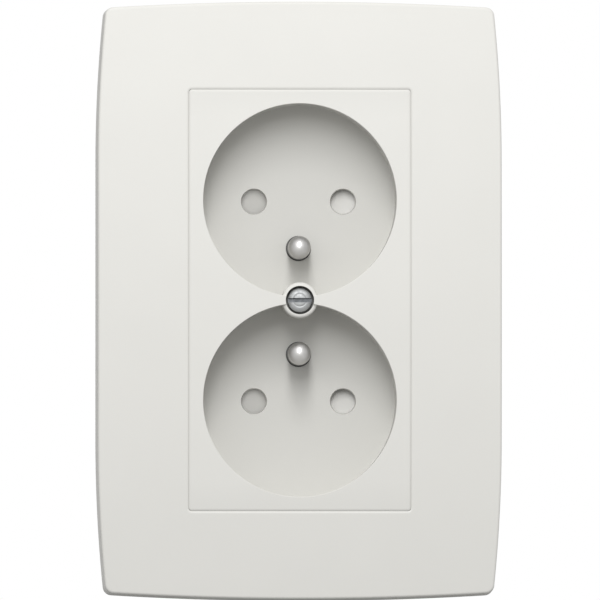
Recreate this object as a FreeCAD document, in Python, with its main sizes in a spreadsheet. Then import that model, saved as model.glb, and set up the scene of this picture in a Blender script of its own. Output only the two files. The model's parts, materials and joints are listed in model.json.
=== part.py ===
import FreeCAD, Part
import math
import os
import Sketcher

# Double earthed wall socket for one round box: a domed cover frame, a socket cover with two
# wells, a pair of rotary shutters, and the contact block behind it.
# X runs to the right, Z runs up and the front looks along -Y. The wall is the plane y = 0, and
# the origin lies on it, on the axis of the central screw.
# A height is a distance in front of the wall, so what sits in the box has a negative height.

os.makedirs("parts", exist_ok=True)
doc = FreeCAD.newDocument("double_wall_socket")
sheet = doc.addObject("Spreadsheet::Sheet", "sizes")

DRIVING_SIZES = {
    # Cover frame
    "support_room": (5.75, "room between the support frame and the frame's side walls"),
    "frame_tall": (127.8, "cover frame from top to bottom"),
    "side_straight": (59.6, "straight stretch of each side"),
    "side_radius": (313, "sweep of the sides above and below it"),
    "end_radius": (660, "sweep of the top and bottom edges"),
    "frame_corner": (1.9, "rounding of the four corners"),
    "frame_edge": (1.1, "rounding of the front edge"),
    "frame_draft": (2, "draft of the side walls, in degrees"),
    "frame_wall": (2.0, "side wall"),
    "frame_skin": (2.2, "front skin"),
    "front_height": (21.2, "front surface at the middle, from the wall"),
    "dome_radius": (750, "dome of the front, up and down"),
    "window_corner": (0.7, "rounding of the window's corners"),
    "window_lip": (0.35, "rounding of the window's front edge"),
    "ledge_height": (17.2, "ledge that the socket cover presses on"),
    "ledge_width": (1.3, "ledge across"),
    "collar_height": (9.0, "back edge of the collar round the window"),
    "collar_wall": (1.6, "collar wall"),
    "rib_wall": (1.2, "stiffening ribs"),
    "rib_height": (12.5, "back edge of the ribs"),
    "rib_offset": (22.0, "cross ribs, from the middle"),
    # Socket cover
    "cover_side": (2.9, "cover beside a well"),
    "cover_end": (2.825, "cover above the upper well and below the lower one"),
    "cover_gap": (0.3, "gap between the cover and the window"),
    "cover_skin": (2.0, "front skin of the cover"),
    "cover_edge": (0.35, "rounding of the cover's front edge"),
    "well_radius": (20.6, "inside of each well"),
    "well_spacing": (42.6, "between the two well axes"),
    "well_depth": (15.1, "depth of each well"),
    "well_wall": (1.4, "wall of each well"),
    "well_lip": (0.25, "rounding of the well's rim"),
    "floor_wall": (1.6, "floor of each well"),
    "skirt_wall": (1.2, "skirt behind the cover"),
    "skirt_gap": (0.3, "gap between the skirt and the ledge opening"),
    "pin_spacing": (19.0, "between the two contact holes"),
    "pin_hole_radius": (2.8, "contact hole in the floor"),
    "boss_wall": (0.78, "wall of the boss round the central screw"),
    "boss_drop": (0.5, "boss below the front surface"),
    "boss_edge": (0.5, "rounding of the boss"),
    "recess_gap": (0.47, "gap round the screw head in its recess"),
    "recess_depth": (2.9, "depth of that recess below the boss"),
    # Earth pins and central screw
    "earth_offset": (10.0, "earth pin from the line of the contact holes"),
    "earth_pin_radius": (2.4, "earth pin"),
    "earth_pin_reach": (13.3, "earth pin in front of the floor"),
    "earth_dome_tall": (1.68, "domed tip of the earth pin"),
    "earth_root_step": (0.2, "step from the pin to its thicker root"),
    "earth_root_rise": (0.3, "root in front of the floor"),
    "earth_pin_gap": (0.1, "gap round the root in the floor"),
    "earth_collar_radius": (3.2, "collar at the pin's foot"),
    "earth_collar_tall": (1.2, "collar thickness"),
    "earth_tail_radius": (1.6, "riveted tail"),
    "tail_head_radius": (2.2, "peened head of the tail"),
    "tail_head_tall": (0.6, "thickness of the peened head"),
    "screw_head_radius": (2.55, "head of the central screw"),
    "screw_head_tall": (2.0, "thickness of the head"),
    "screw_slot_width": (1.0, "driver slot"),
    "screw_slot_depth": (1.0, "depth of the driver slot"),
    "screw_radius": (1.45, "shank of the central screw"),
    "screw_gap": (0.3, "clearance round the shank"),
    "screw_end": (6.0, "tip of the central screw behind the wall"),
    # Shutters
    "shutter_gap": (0.1, "gap between the floor and the shutter"),
    "shutter_thick": (1.6, "thickness of the shutter"),
    "vane_overlap": (0.5, "rim of a vane round its contact hole"),
    "ramp_drop": (1.1, "fall of the ramp across a vane"),
    "pivot_radius": (1.4, "pivot on the back of the floor"),
    "pivot_gap": (0.08, "running clearance of the pivot"),
    "retainer_radius": (2.3, "retaining washer"),
    "retainer_thick": (0.6, "thickness of the washer"),
    "retainer_gap": (0.2, "gap between the washer and the support frame"),
    "spring_wire": (0.13, "radius of the spring wire"),
    "spring_coil": (2.1, "radius of the spring coil"),
    "spring_turns": (1.25, "turns of the spring"),
    "spring_play": (0.02, "end play of the spring"),
    "peg_radius": (0.7, "peg that holds the spring's fixed leg"),
    "peg_offset": (8.0, "peg from the well axis"),
    "stop_offset": (6.5, "stop for the spring's moving leg, from the well axis"),
    "stop_length": (1.6, "that stop along the vane"),
    "stop_width": (1.0, "that stop across the vane"),
    "stop_tall": (0.5, "that stop behind the vane"),
    # Support frame
    "support_edge": (2.0, "sheet outside the slots for the box screws"),
    "support_corner": (6.0, "rounding of its corners"),
    "support_thick": (1.0, "steel sheet"),
    "block_seat": (1.5, "sheet that the block's sides lie against"),
    "block_end_seat": (0.6, "sheet that the block's ends lie against"),
    "opening_corner": (3.0, "rounding of the opening"),
    "tongue_width": (8.0, "tongues that hold the earth bridge"),
    "tongue_margin": (0.4, "tongue beyond the head of its rivet"),
    "box_spacing": (60.0, "between opposite box screws"),
    "box_slot_length": (7.0, "slot for a box screw"),
    "box_slot_radius": (2.1, "half the slot's width"),
    # Contact block
    "block_round": (1.8, "round corners of the block beyond its ends"),
    "block_width": (39.0, "block across"),
    "block_end_wall": (2.5, "end walls of the block"),
    "block_depth": (15.0, "contact base behind the wall"),
    "rear_depth": (26.5, "rear cover's back behind the wall"),
    "block_front": (2.0, "front wall of the contact base"),
    "rear_wall": (2.0, "back wall of the rear cover"),
    "rear_edge": (1.0, "bevel of the rear cover's back edge"),
    "chamber_side_gap": (0.15, "room beside the flared leaves in their chamber"),
    "chamber_end_gap": (0.4, "room at the ends of the contact bar in its chamber"),
    "middle_side_gap": (0.2, "room beside the earth terminal in its chamber"),
    "middle_end_gap": (2.0, "room at the ends of the earth terminal in its chamber"),
    "entry_step": (0.3, "plug pin entry in the contact base, wider than the contact hole"),
    "pocket_wall": (1.2, "walls beside the hollow outside each chamber"),
    "side_pocket_tall": (20.0, "hollow outside each chamber, from top to bottom"),
    "ear_reach": (1.8, "rivet of an ear beyond the block's side"),
    "ear_rise": (13.0, "riveted ear from the middle, up and down"),
    "ear_radius": (2.6, "end of the ear"),
    "ear_thick": (3.0, "thickness of the ear"),
    "rivet_radius": (1.1, "rivet shank"),
    "rivet_head_radius": (1.8, "rivet head"),
    "rivet_head_tall": (0.6, "thickness of the rivet head"),
    "rivet_tail_radius": (1.6, "closed end of the rivet"),
    "rivet_bevel": (0.4, "bevel of the rivet head"),
    "bridge_width": (7.0, "earth bridge across"),
    "bridge_thick": (1.5, "earth bridge"),
    "bridge_rivet_inset": (1.0, "bridge rivet from the end of the block"),
    "bridge_gap": (0.2, "gap round the bridge in its recess"),
    "tail_gap": (0.3, "room round and under a riveted end"),
    # Contacts
    "bar_height": (-14.6, "back face of the contact bars"),
    "bar_thick": (1.0, "contact bar"),
    "clip_gap": (4.9, "between the two leaves of a clip"),
    "leaf_thick": (0.6, "contact leaf"),
    "leaf_width": (4.8, "contact leaf up and down"),
    "leaf_height": (-3.2, "front end of the leaves"),
    "leaf_flare": (0.5, "outward flare of the leaf end"),
    "leaf_flare_tall": (1.6, "length of that flare"),
    "clasp_thick": (0.35, "steel spring round a clip"),
    "clasp_height": (-9.5, "back edge of that spring"),
    "clasp_tall": (3.0, "its depth"),
    # Terminals
    "terminal_pitch": (9.5, "between the terminals"),
    "entry_rise": (4.2, "wire entry from the middle"),
    "wire_hole_radius": (1.9, "wire entry"),
    "tab_clear": (0.1, "tab beside the wire entries"),
    "tab_width": (13.0, "terminal tab up and down"),
    "tab_height": (-23.2, "back end of the tab"),
    "terminal_wall": (1.1, "wall between two terminal chambers"),
    "terminal_end_gap": (1.3, "room at the ends of the tab in the terminal chamber"),
    "sheet_spring": (0.4, "terminal spring sheet"),
    "spring_wall_gap": (0.1, "gap between that spring and the side of its chamber"),
    "spring_front_gap": (0.4, "gap between that spring and the contact base"),
    "spring_bend_gap": (1.0, "bend of that spring in front of the tab's back end"),
    "spring_bend_width": (1.2, "flat across that bend"),
    "spring_tip_rise": (2.2, "tip of that spring behind its front end"),
    "spring_tip_gap": (0.05, "gap between the tip and the tab"),
    "button_width": (3.0, "release button across"),
    "button_tall": (3.4, "release button up and down"),
    "button_shift": (0.4, "button from the wire's axis"),
    "button_gap": (0.3, "gap round the button"),
    "button_proud": (1.4, "button behind the rear cover"),
    "button_flange": (0.8, "flange that keeps the button in"),
    "button_flange_gap": (0.1, "gap between the flange and the rear wall"),
    "button_edge": (0.4, "rounding of the button"),
    "button_stem": (3.0, "stem in front of the rear wall"),
    # Screws of the rear cover
    "case_screw_side": (2.1, "case screw beside the outer terminal chambers"),
    "case_screw_land": (4.6, "case screw beyond the ends of the hollows"),
    "case_screw_radius": (1.2, "case screw shank"),
    "case_head_radius": (2.2, "case screw head"),
    "case_head_tall": (1.6, "depth of the seat for that head"),
    "case_head_sink": (0.1, "head below the rear cover's back"),
    "case_slot_width": (0.8, "slot of that head across"),
    "case_slot_depth": (0.8, "depth of that slot"),
    "case_screw_end": (6.5, "tip of the case screw behind the wall"),
    # Claws
    "nut_block_gap": (0.5, "gap between a claw nut and the block"),
    "claw_screw_radius": (1.5, "claw screw shank"),
    "claw_head_radius": (2.6, "claw screw head"),
    "claw_head_tall": (1.9, "thickness of that head"),
    "claw_screw_end": (24.5, "tip of the claw screw behind the wall"),
    "claw_hole_gap": (0.2, "clearance of the claw screw in the support frame"),
    "thread_gap": (0.06, "running clearance of the nut on its screw"),
    "nut_width": (5.2, "claw nut across"),
    "nut_tall": (9.4, "claw nut up and down"),
    "nut_thick": (2.2, "claw nut"),
    "nut_height": (-21.0, "back face of the claw nut at rest"),
    "claw_pivot_step": (4.0, "claw pivot outside the claw screw"),
    "claw_pivot_depth": (2.6, "claw pivot behind the wall"),
    "claw_pivot_radius": (0.8, "claw pivot pin"),
    "claw_pivot_gap": (0.08, "running clearance of that pin"),
    "claw_pivot_proud": (0.2, "pin beyond its lugs"),
    "claw_sheet": (1.2, "claw sheet"),
    "claw_width": (8.8, "claw up and down"),
    "claw_start": (1.0, "front end of the claw behind the wall"),
    "claw_end": (24.0, "rear end of the claw behind the wall"),
    "claw_tooth": (1.2, "height of the claw's teeth"),
    "tooth_root": (0.2, "root of the teeth above the claw's outer face"),
    "tooth_pitch": (1.8, "from tooth to tooth"),
    "tooth_flank": (0.8, "gentle flank of a tooth, along the claw"),
    "cheek_reach": (1.0, "front corner of the cheeks beyond the screw's axis"),
    "cheek_slope": (10.5, "sloping edge of the cheeks, front to back"),
    "cheek_land": (2.5, "straight edge of the cheeks in front of the slope"),
    "cheek_neck": (1.2, "cheeks at the pivot, from the outer wall"),
    "channel_reach": (5.0, "channel of the claw beyond the screw's axis"),
    "claw_side_gap": (0.3, "gap between the claw and its lugs"),
    "claw_nut_gap": (0.3, "gap between the claw and its nut"),
    "lug_width": (3.4, "lug of the support frame across"),
    "lug_depth": (4.4, "lug behind the wall"),
}

for row, (alias, (number, meaning)) in enumerate(DRIVING_SIZES.items(), start=1):
    sheet.set(f"A{row}", meaning)
    sheet.set(f"B{row}", str(number))
    sheet.setAlias(f"B{row}", alias)
doc.recompute()


class Length:
    """A size with the number that it has now and the formula that binds it to the sheet."""

    def __init__(self, value, formula):
        self.value = value
        self.formula = formula

    def joined(self, other, sign, value):
        return Length(value, f"({self.formula} {sign} {as_length(other).formula})")

    def __add__(self, other):
        return self.joined(other, "+", self.value + as_length(other).value)

    def __sub__(self, other):
        return self.joined(other, "-", self.value - as_length(other).value)

    def __mul__(self, other):
        return self.joined(other, "*", self.value * as_length(other).value)

    def __truediv__(self, other):
        return self.joined(other, "/", self.value / as_length(other).value)

    def __radd__(self, other):
        return as_length(other) + self

    def __rsub__(self, other):
        return as_length(other) - self

    def __rmul__(self, other):
        return as_length(other) * self

    def __neg__(self):
        return Length(-self.value, f"(0 - {self.formula})")


def as_length(number):
    if isinstance(number, Length):
        return number
    return Length(float(number), f"({float(number)})")


def root(length):
    return Length(math.sqrt(length.value), f"sqrt({length.formula})")


def size(alias):
    return Length(float(DRIVING_SIZES[alias][0]), f"{sheet.Name}.{alias}")


def bind(thing, path, length):
    thing.setExpression(path, as_length(length).formula)


# Outlines: each returns a function that draws one closed loop in a sketch


def hold_point(sketch, element, point, across, up):
    """Binds both coordinates of a point of an element."""
    for kind, length in (("DistanceX", across), ("DistanceY", up)):
        length = as_length(length)
        index = sketch.addConstraint(
            Sketcher.Constraint(kind, -1, 1, element, point, length.value)
        )
        bind(sketch, f"Constraints[{index}]", length)


def circle(radius, across=0, up=0):
    def draw(sketch):
        centre = FreeCAD.Vector(as_length(across).value, as_length(up).value, 0)
        shape = Part.Circle(centre, FreeCAD.Vector(0, 0, 1), radius.value)
        element = sketch.addGeometry(shape)
        hold_point(sketch, element, 3, across, up)
        index = sketch.addConstraint(Sketcher.Constraint("Radius", element, radius.value))
        bind(sketch, f"Constraints[{index}]", radius)

    return draw


def arc_between(start, end, bow):
    """An arc from start to end, turning left when bow is above 0, and whether it runs backwards."""
    chord = end - start
    middle = (start + end) * 0.5
    rise = math.sqrt(max(bow * bow - (chord.Length / 2) ** 2, 0))
    left = FreeCAD.Vector(-chord.y, chord.x, 0).normalize()
    centre = middle + left * math.copysign(rise, bow)
    first, last = (start, end) if bow > 0 else (end, start)
    angles = [math.atan2(point.y - centre.y, point.x - centre.x) for point in (first, last)]
    whole = Part.Circle(centre, FreeCAD.Vector(0, 0, 1), abs(bow))
    return Part.ArcOfCircle(whole, angles[0], angles[1]), bow < 0


def path(corners):
    """A closed loop through (across, up) corners. A third item is the radius of an arc to the
    next corner: above 0 it bulges outwards on a loop that runs anticlockwise."""

    def draw(sketch):
        points = [
            FreeCAD.Vector(as_length(corner[0]).value, as_length(corner[1]).value, 0)
            for corner in corners
        ]
        ends = []
        for number, corner in enumerate(corners):
            start = points[number]
            end = points[(number + 1) % len(points)]
            if len(corner) == 2:
                element = sketch.addGeometry(Part.LineSegment(start, end))
                ends.append((element, 1, 2))
                continue
            arc, backwards = arc_between(start, end, corner[2].value)
            element = sketch.addGeometry(arc)
            ends.append((element, 2, 1) if backwards else (element, 1, 2))
            bow = corner[2] if corner[2].value > 0 else -corner[2]
            index = sketch.addConstraint(Sketcher.Constraint("Radius", element, bow.value))
            bind(sketch, f"Constraints[{index}]", bow)
        for number, corner in enumerate(corners):
            element, first, last = ends[number]
            after, after_first, after_last = ends[(number + 1) % len(ends)]
            hold_point(sketch, element, first, corner[0], corner[1])
            sketch.addConstraint(
                Sketcher.Constraint("Coincident", element, last, after, after_first)
            )

    return draw


def rectangle(width, tall, across=0, up=0):
    left = across - width / 2
    right = across + width / 2
    bottom = up - tall / 2
    top = up + tall / 2
    return path([(left, bottom), (right, bottom), (right, top), (left, top)])


def box_outline(left, right, bottom, top):
    return path([(left, bottom), (right, bottom), (right, top), (left, top)])


def capsule(half_length, radius, across=0, up=0, upright=False):
    """A slot outline: two half circles of this radius, their centres half_length from its middle."""

    def draw(sketch):
        along = (0, 1) if upright else (1, 0)
        middle = FreeCAD.Vector(as_length(across).value, as_length(up).value, 0)
        step = FreeCAD.Vector(along[0], along[1], 0)
        side = FreeCAD.Vector(-along[1], along[0], 0)
        arcs = []
        for sign in (1, -1):
            centre = middle + step * (sign * half_length.value)
            whole = Part.Circle(centre, FreeCAD.Vector(0, 0, 1), radius.value)
            first = math.atan2(-sign * side.y, -sign * side.x)
            element = sketch.addGeometry(Part.ArcOfCircle(whole, first, first + math.pi))
            hold_point(
                sketch,
                element,
                3,
                across + half_length * (sign * along[0]),
                up + half_length * (sign * along[1]),
            )
            arcs.append(element)
        for number, sign in enumerate((1, -1)):
            start = middle + step * (sign * half_length.value) + side * (sign * radius.value)
            end = middle - step * (sign * half_length.value) + side * (sign * radius.value)
            line = sketch.addGeometry(Part.LineSegment(start, end))
            sketch.addConstraint(Sketcher.Constraint("Tangent", arcs[number], 2, line, 1))
            sketch.addConstraint(Sketcher.Constraint("Tangent", line, 2, arcs[1 - number], 1))
        index = sketch.addConstraint(Sketcher.Constraint("Radius", arcs[0], radius.value))
        bind(sketch, f"Constraints[{index}]", radius)

    return draw


def together(*outlines):
    def draw(sketch):
        for outline in outlines:
            outline(sketch)

    return draw


# Features: all heights run towards the front on FRONT, x on SIDE and z on LEVEL

FRONT = "XZ_Plane"
SIDE = "YZ_Plane"
LEVEL = "XY_Plane"

# How far a cut runs past the face that it opens, and a joined solid into its neighbour
OVERRUN = as_length(1)
# What counts as the same place when edges are picked
SLACK = 0.02


def new_body(name):
    return doc.addObject("PartDesign::Body", name)


def new_sketch(body, name, plane, offset, draw):
    sketch = body.newObject("Sketcher::SketchObject", name + "_outline")
    support = next(item for item in body.Origin.OriginFeatures if item.Role == plane)
    sketch.AttachmentSupport = [(support, "")]
    sketch.MapMode = "FlatFace"
    bind(sketch, "AttachmentOffset.Base.z", offset)
    draw(sketch)
    return sketch


def settle(body, feature):
    """Recomputes, and stops if the new feature could not be made."""
    doc.recompute()
    if "Invalid" in feature.State or "Error" in feature.State or body.Shape.isNull():
        raise RuntimeError(f"{body.Name}: {feature.Name} failed")
    return feature


def add(body, name, plane, low, high, draw, draft=None):
    """Adds the outline's solid between two offsets from the plane."""
    pad = body.newObject("PartDesign::Pad", name)
    pad.Profile = new_sketch(body, name, plane, low, draw)
    bind(pad, "Length", high - low)
    if draft is not None:
        bind(pad, "TaperAngle", -draft)
    return settle(body, pad)


def cut(body, name, plane, low, high, draw):
    """Takes away the outline's solid between two offsets from the plane."""
    before = body.Shape.Volume
    pocket = body.newObject("PartDesign::Pocket", name)
    pocket.Profile = new_sketch(body, name, plane, low, draw)
    pocket.Reversed = True
    bind(pocket, "Length", high - low)
    settle(body, pocket)
    if body.Shape.Volume >= before:
        raise RuntimeError(f"{body.Name}: {name} cut nothing")
    return pocket


def finish_edges(body, name, kind, amount, wanted):
    """Rounds or bevels the edges that the test picks."""
    base = body.Tip
    edges = [f"Edge{n}" for n, edge in enumerate(base.Shape.Edges, start=1) if wanted(edge)]
    if not edges:
        raise RuntimeError(f"{body.Name}: {name} found no edge")
    dressed = body.newObject(f"PartDesign::{kind}", name)
    dressed.Base = (base, edges)
    bind(dressed, "Radius" if kind == "Fillet" else "Size", amount)
    return settle(body, dressed)


def height_span(edge):
    """Lowest and highest point of an edge in front of the wall."""
    box = edge.BoundBox
    return -box.YMax, -box.YMin


def near(value, length):
    return abs(value - as_length(length).value) < SLACK


pieces = {}


def keep(name, thing):
    """Names a finished piece after the file that it goes to."""
    thing.Label = name
    pieces[name] = thing
    return thing


def place(thing, across=0, height=0, up=0):
    """Seats a piece that was drawn round its own origin."""
    bind(thing, "Placement.Base.x", across)
    bind(thing, "Placement.Base.y", -as_length(height))
    bind(thing, "Placement.Base.z", up)
    return thing


# Heights and places that several pieces share

CORNERS = ((1, 1), (-1, 1), (-1, -1), (1, -1))

front_height = size("front_height")
dome_radius = size("dome_radius")
well_rise = size("well_spacing") / 2
pin_side = size("pin_spacing") / 2
well_drop = dome_radius - root(dome_radius * dome_radius - well_rise * well_rise)
floor_front = front_height - well_drop - size("well_depth")
floor_back = floor_front - size("floor_wall")
earth_rise = well_rise - size("earth_offset")
boss_top = front_height - size("boss_drop")
head_seat = boss_top - size("recess_depth")
support_thick = size("support_thick")
shutter_front = floor_back - size("shutter_gap")
shutter_back = shutter_front - size("shutter_thick")
retainer_back = support_thick + size("retainer_gap")
retainer_front = retainer_back + size("retainer_thick")
leg_offset = size("spring_coil")
block_back = -size("block_depth")
case_back = -size("rear_depth")
cover_width = 2 * (size("well_radius") + size("cover_side"))
cover_tall = size("well_spacing") + 2 * (size("well_radius") + size("cover_end"))
window_width = cover_width + 2 * size("cover_gap")
window_tall = cover_tall + 2 * size("cover_gap")
ledge_open_width = window_width - 2 * size("ledge_width")
ledge_open_tall = window_tall - 2 * size("ledge_width")
skirt_width = ledge_open_width - 2 * size("skirt_gap")
skirt_tall = ledge_open_tall - 2 * size("skirt_gap")
clear_of_all = front_height * 1.5
support_side = size("box_spacing") + size("box_slot_length") + 2 * size("support_edge")
frame_width = support_side + 2 * (size("support_room") + size("frame_wall"))
recess_radius = size("screw_head_radius") + size("recess_gap")
boss_radius = recess_radius + size("boss_wall")
vane_radius = size("pin_hole_radius") + size("vane_overlap")
root_radius = size("earth_pin_radius") + size("earth_root_step")
bar_end = well_rise + size("leaf_width") / 2
bar_side = size("clip_gap") / 2 + size("leaf_thick")
chamber_width = 2 * (bar_side + size("leaf_flare") + size("chamber_side_gap"))
chamber_tall = 2 * (bar_end + size("chamber_end_gap"))
block_tall = chamber_tall + 2 * size("block_end_wall")
block_radius = block_tall / 2 + size("block_round")
bridge_rivet = block_tall / 2 - size("bridge_rivet_inset")
bridge_reach = bridge_rivet + size("rivet_head_radius")
ear_offset = size("block_width") / 2 + size("ear_reach")
tab_inset = size("wire_hole_radius") + size("tab_clear")
terminal_width = size("terminal_pitch") - size("terminal_wall")
terminal_tall = size("tab_width") + 2 * size("terminal_end_gap")
case_screw_across = size("terminal_pitch") + terminal_width / 2 + size("case_screw_side")
case_screw_up = size("side_pocket_tall") / 2 + size("case_screw_land")
claw_screw_across = size("block_width") / 2 + size("nut_block_gap") + size("nut_width") / 2
claw_pivot_across = claw_screw_across + size("claw_pivot_step")


def dome_waste(surface_height):
    """Side profile of what lies in front of a dome that is this high at the middle."""
    reach = size("frame_tall")
    sink = dome_radius - root(dome_radius * dome_radius - reach * reach)
    face = -surface_height
    return path(
        [
            (-clear_of_all, -reach),
            (face + sink, -reach, -dome_radius),
            (face + sink, reach),
            (-clear_of_all, reach),
        ]
    )


def cut_dome(body, surface_height):
    half = frame_width
    cut(body, "dome", SIDE, -half, half, dome_waste(surface_height))


def swept_outline(inset):
    """The cover frame's outline, drawn in by inset: straight sides that sweep in towards the
    ends, and a shallow arc across the top and the bottom."""
    half_width = frame_width / 2 - inset
    half_tall = size("frame_tall") / 2 - inset
    straight = size("side_straight") / 2
    side_radius = size("side_radius") - inset
    end_radius = size("end_radius") - inset
    side_centre = half_width - side_radius
    end_centre = half_tall - end_radius

    def corner_guess():
        """Where the side arc and the end arc meet, found by stepping between them."""
        across = half_width.value
        for _ in range(20):
            up = end_centre.value + math.sqrt(end_radius.value**2 - across**2)
            rise = up - straight.value
            across = side_centre.value + math.sqrt(side_radius.value**2 - rise**2)
        return across, up

    def draw(sketch):
        across, up = corner_guess()
        sides = {}
        for right in (1, -1):
            line = sketch.addGeometry(
                Part.LineSegment(
                    FreeCAD.Vector(right * half_width.value, -right * straight.value, 0),
                    FreeCAD.Vector(right * half_width.value, right * straight.value, 0),
                )
            )
            hold_point(sketch, line, 1, half_width * right, straight * -right)
            hold_point(sketch, line, 2, half_width * right, straight * right)
            sides[right] = line
        arcs = {}
        for right, top in ((1, 1), (-1, 1), (-1, -1), (1, -1)):
            start = FreeCAD.Vector(right * half_width.value, top * straight.value, 0)
            end = FreeCAD.Vector(right * across, top * up, 0)
            turns_left = right * top
            arc, backwards = arc_between(start, end, turns_left * side_radius.value)
            element = sketch.addGeometry(arc)
            first, last = (2, 1) if backwards else (1, 2)
            hold_point(sketch, element, 3, side_centre * right, straight * top)
            line_end = 2 if right * top > 0 else 1
            sketch.addConstraint(
                Sketcher.Constraint("Coincident", element, first, sides[right], line_end)
            )
            arcs[(right, top)] = (element, last)
        for top in (1, -1):
            start = FreeCAD.Vector(top * across, top * up, 0)
            end = FreeCAD.Vector(-top * across, top * up, 0)
            arc, _ = arc_between(start, end, end_radius.value)
            element = sketch.addGeometry(arc)
            hold_point(sketch, element, 3, 0, end_centre * top)
            index = sketch.addConstraint(
                Sketcher.Constraint("Radius", element, end_radius.value)
            )
            bind(sketch, f"Constraints[{index}]", end_radius)
            for point, right in ((1, top), (2, -top)):
                side_arc, side_end = arcs[(right, top)]
                sketch.addConstraint(
                    Sketcher.Constraint("Coincident", element, point, side_arc, side_end)
                )

    return draw


def make_cover_frame():
    """Domed frame with swept sides, a window with a ledge, and a ribbed hollow back."""
    solid = new_body("cover_frame_solid")
    add(
        solid, "outside", FRONT, as_length(0), clear_of_all,
        swept_outline(as_length(0)), draft=size("frame_draft"),
    )
    finish_edges(
        solid, "corners", "Fillet", size("frame_corner"),
        lambda edge: height_span(edge)[1] - height_span(edge)[0] > front_height.value,
    )
    cut_dome(solid, front_height)
    finish_edges(
        solid, "front_edge", "Fillet", size("frame_edge"),
        lambda edge: height_span(edge)[0] > front_height.value / 2,
    )
    window = rectangle(window_width, window_tall)
    cut(solid, "window", FRONT, size("ledge_height"), clear_of_all, window)
    finish_edges(
        solid, "window_corners", "Fillet", size("window_corner"),
        lambda edge: near(height_span(edge)[0], size("ledge_height"))
        and height_span(edge)[1] > (size("ledge_height") + OVERRUN).value,
    )
    finish_edges(
        solid, "window_lip", "Fillet", size("window_lip"),
        lambda edge: height_span(edge)[0] > (size("ledge_height") + OVERRUN).value
        and abs(edge.CenterOfMass.x) < window_width.value / 2 + SLACK
        and abs(edge.CenterOfMass.z) < window_tall.value / 2 + SLACK,
    )
    opening = rectangle(ledge_open_width, ledge_open_tall)
    cut(solid, "opening", FRONT, -OVERRUN, clear_of_all, opening)

    hollow = new_body("cover_frame_hollow")
    add(hollow, "inside", FRONT, -OVERRUN, clear_of_all, swept_outline(size("frame_wall")))
    cut_dome(hollow, front_height - size("frame_skin"))
    collar = rectangle(
        window_width + 2 * size("collar_wall"), window_tall + 2 * size("collar_wall")
    )
    cut(hollow, "collar", FRONT, size("collar_height"), clear_of_all, collar)
    across_all = frame_width
    for number, rise in enumerate((size("rib_offset"), -size("rib_offset")), start=1):
        rib = rectangle(across_all, size("rib_wall"), up=rise)
        cut(hollow, f"side_rib_{number}", FRONT, size("rib_height"), clear_of_all, rib)
    end_rib = rectangle(size("rib_wall"), size("frame_tall"))
    cut(hollow, "end_rib", FRONT, size("rib_height"), clear_of_all, end_rib)

    frame = doc.addObject("Part::Cut", "cover_frame")
    frame.Base = solid
    frame.Tool = hollow
    keep("cover_frame", frame)


def make_socket_cover():
    """Moulded cover: a domed face, two wells with pierced floors, a screw boss and a skirt."""
    body = new_body("socket_cover")
    add(
        body, "rim", FRONT, size("ledge_height"), clear_of_all, rectangle(cover_width, cover_tall)
    )
    cut_dome(body, front_height)
    finish_edges(
        body, "rim_corners", "Fillet", size("window_corner"),
        lambda edge: near(height_span(edge)[0], size("ledge_height"))
        and height_span(edge)[1] > (size("ledge_height") + OVERRUN).value,
    )
    finish_edges(
        body, "rim_edge", "Fillet", size("cover_edge"),
        lambda edge: height_span(edge)[0] > (size("ledge_height") + OVERRUN).value,
    )
    add(
        body, "skirt", FRONT, floor_back, size("ledge_height") + size("floor_wall"),
        rectangle(skirt_width, skirt_tall),
    )
    end_drop = dome_radius - root(dome_radius * dome_radius - cover_tall * cover_tall / 4)
    hollow = rectangle(skirt_width - 2 * size("skirt_wall"), skirt_tall - 2 * size("skirt_wall"))
    ceiling = front_height - end_drop - size("cover_skin")
    cut(body, "hollow", FRONT, floor_back, ceiling, hollow)
    outer_well = size("well_radius") + size("well_wall")
    for name, rise in (("upper", well_rise), ("lower", -well_rise)):
        add(body, f"{name}_cup", FRONT, floor_back, ceiling + OVERRUN, circle(outer_well, up=rise))
    for name, rise in (("upper", well_rise), ("lower", -well_rise)):
        cut(
            body, f"{name}_well", FRONT, floor_front, clear_of_all,
            circle(size("well_radius"), up=rise),
        )
    boss_edge = size("boss_edge")
    turned(
        body, "boss",
        path(
            [
                (0, 0),
                (0, -boss_top),
                (boss_radius - boss_edge, -boss_top, boss_edge),
                (boss_radius, -(boss_top - boss_edge)),
                (boss_radius, 0),
            ]
        ),
    )
    cut(body, "screw_recess", FRONT, head_seat, clear_of_all, circle(recess_radius))
    shank_hole = circle(size("screw_radius") + size("screw_gap"))
    cut(body, "screw_hole", FRONT, -OVERRUN, head_seat + OVERRUN, shank_hole)
    finish_edges(
        body, "well_lips", "Fillet", size("well_lip"),
        lambda edge: height_span(edge)[0] > (size("ledge_height") + OVERRUN).value
        and edge.BoundBox.XLength > size("well_radius").value
        and abs(edge.CenterOfMass.x) < size("well_radius").value
        and abs(edge.CenterOfMass.z) < size("well_spacing").value,
    )
    for name, rise, inward in (("upper", well_rise, -1), ("lower", -well_rise, 1)):
        holes = together(
            circle(size("pin_hole_radius"), across=-pin_side, up=rise),
            circle(size("pin_hole_radius"), across=pin_side, up=rise),
            circle(root_radius + size("earth_pin_gap"), up=rise + size("earth_offset") * inward),
        )
        cut(body, f"{name}_holes", FRONT, floor_back - OVERRUN, floor_front + OVERRUN, holes)
        pivot = circle(size("pivot_radius"), up=rise)
        add(body, f"{name}_pivot", FRONT, retainer_back, floor_back, pivot)
        peg_across = (leg_offset - size("spring_wire") - size("peg_radius")) * inward
        peg = circle(
            size("peg_radius"), across=peg_across, up=rise - size("peg_offset") * inward
        )
        add(body, f"{name}_peg", FRONT, retainer_front, floor_back, peg)
    keep("socket_cover", body)


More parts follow.
